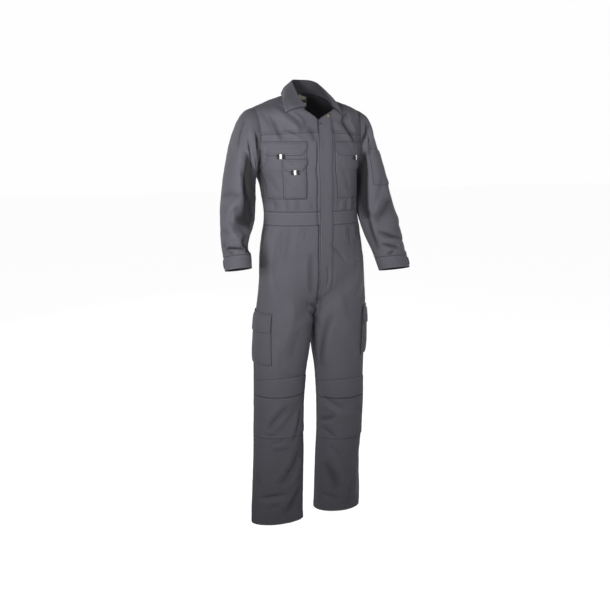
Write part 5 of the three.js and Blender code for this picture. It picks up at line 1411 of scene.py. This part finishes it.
makeBody()
makeLegs()
makeSleeves()
makeChestPockets()
makeFly()
makeCollar()
makeLimbPieces()
makeLabels()
stud("stud_top", "snap_top", 9, -76, 6, 0.8 + suit["double"], studMetal)
stud("stud_neck", "snap_neck", 42, -46, 4.5, 0.8 + suit["double"], brassMetal)
sewThreads(thread)
print("boiler suit: studs and stitching")


# Floor, light and camera
studio = {
    "floor": -1.545, "floorColour": 0.3, "floorGlow": 0.97, "ambient": 0.02, "backdrop": 0.99, "spread": 105,
    "camera": (-1.0429, -2.4568, -0.141), "pitch": 78, "turn": -23, "lens": 44.44,
    "lamps": {  # place, size across, power and what it is aimed at
        "key": ((-1.5, -1.45, -0.16), 0.6, 16.2, (0.0, 0.0, -0.06)),
        "fill": ((0.75, -1.9, 0.0), 0.9, 5, (0.1, 0.0, -0.15)),
        "front": ((-0.75, -2.5, 0.12), 0.3, 4, (0.0, 0.0, -0.02)),
        "rim": ((2.3, -0.1, -0.6), 1.0, 6, (0.1, 0.0, -0.7)),
        "back": ((-1.4, 2.5, 0.8), 1.6, 42, (0.0, 0.0, -0.6)),
        "side": ((2.6, 1.3, 0.2), 1.4, 26, (0.2, 0.0, -0.6)),
    },
}


def makeStudio():
    bpy.ops.mesh.primitive_plane_add(size=40, location=(0, 0, studio["floor"]))
    floor = bpy.context.active_object
    floor.name = "floor"
    floor.visible_diffuse = False
    pale, nodes, links, shader = material("pale floor", (studio["floorColour"],) * 3, 0.8)
    shader.inputs["Specular IOR Level"].default_value = 0
    shader.inputs["Emission Color"].default_value = (1, 1, 1, 1)
    shader.inputs["Emission Strength"].default_value = studio["floorGlow"]
    floor.data.materials.append(pale)
    world = bpy.data.worlds.new("studio")
    bpy.context.scene.world = world
    world.use_nodes = True
    nodes, links = world.node_tree.nodes, world.node_tree.links
    ambient = nodes["Background"]
    ambient.inputs["Color"].default_value = (0.94, 0.96, 1, 1)
    ambient.inputs["Strength"].default_value = studio["ambient"]
    backdrop = addNode(nodes, "ShaderNodeBackground", Color=(1, 1, 1, 1), Strength=studio["backdrop"])
    seen = addNode(nodes, "ShaderNodeLightPath")
    choose = addNode(nodes, "ShaderNodeMixShader")
    links.new(seen.outputs["Is Camera Ray"], choose.inputs[0])
    links.new(ambient.outputs[0], choose.inputs[1])
    links.new(backdrop.outputs[0], choose.inputs[2])
    links.new(choose.outputs[0], nodes["World Output"].inputs["Surface"])
    for name, (place, size, power, aim) in studio["lamps"].items():
        lamp = bpy.data.lights.new(name, "AREA")
        lamp.size, lamp.energy = size, power
        if name in ("key", "fill", "front"):
            lamp.spread = np.radians(studio["spread"])
        light = bpy.data.objects.new(name, lamp)
        bpy.context.scene.collection.objects.link(light)
        light.location = place
        light.visible_camera = False
        light.rotation_euler = (Vector(aim) - light.location).to_track_quat("-Z", "Y").to_euler()
    camera = bpy.data.objects.new("camera", bpy.data.cameras.new("camera"))
    bpy.context.scene.collection.objects.link(camera)
    camera.location = studio["camera"]
    camera.rotation_euler = (np.radians(studio["pitch"]), 0, np.radians(studio["turn"]))
    camera.data.lens = studio["lens"]
    camera.data.clip_start = 0.05
    bpy.context.scene.camera = camera
    bpy.context.scene.view_settings.view_transform = "Standard"
    print("boiler suit: studio")


makeStudio()
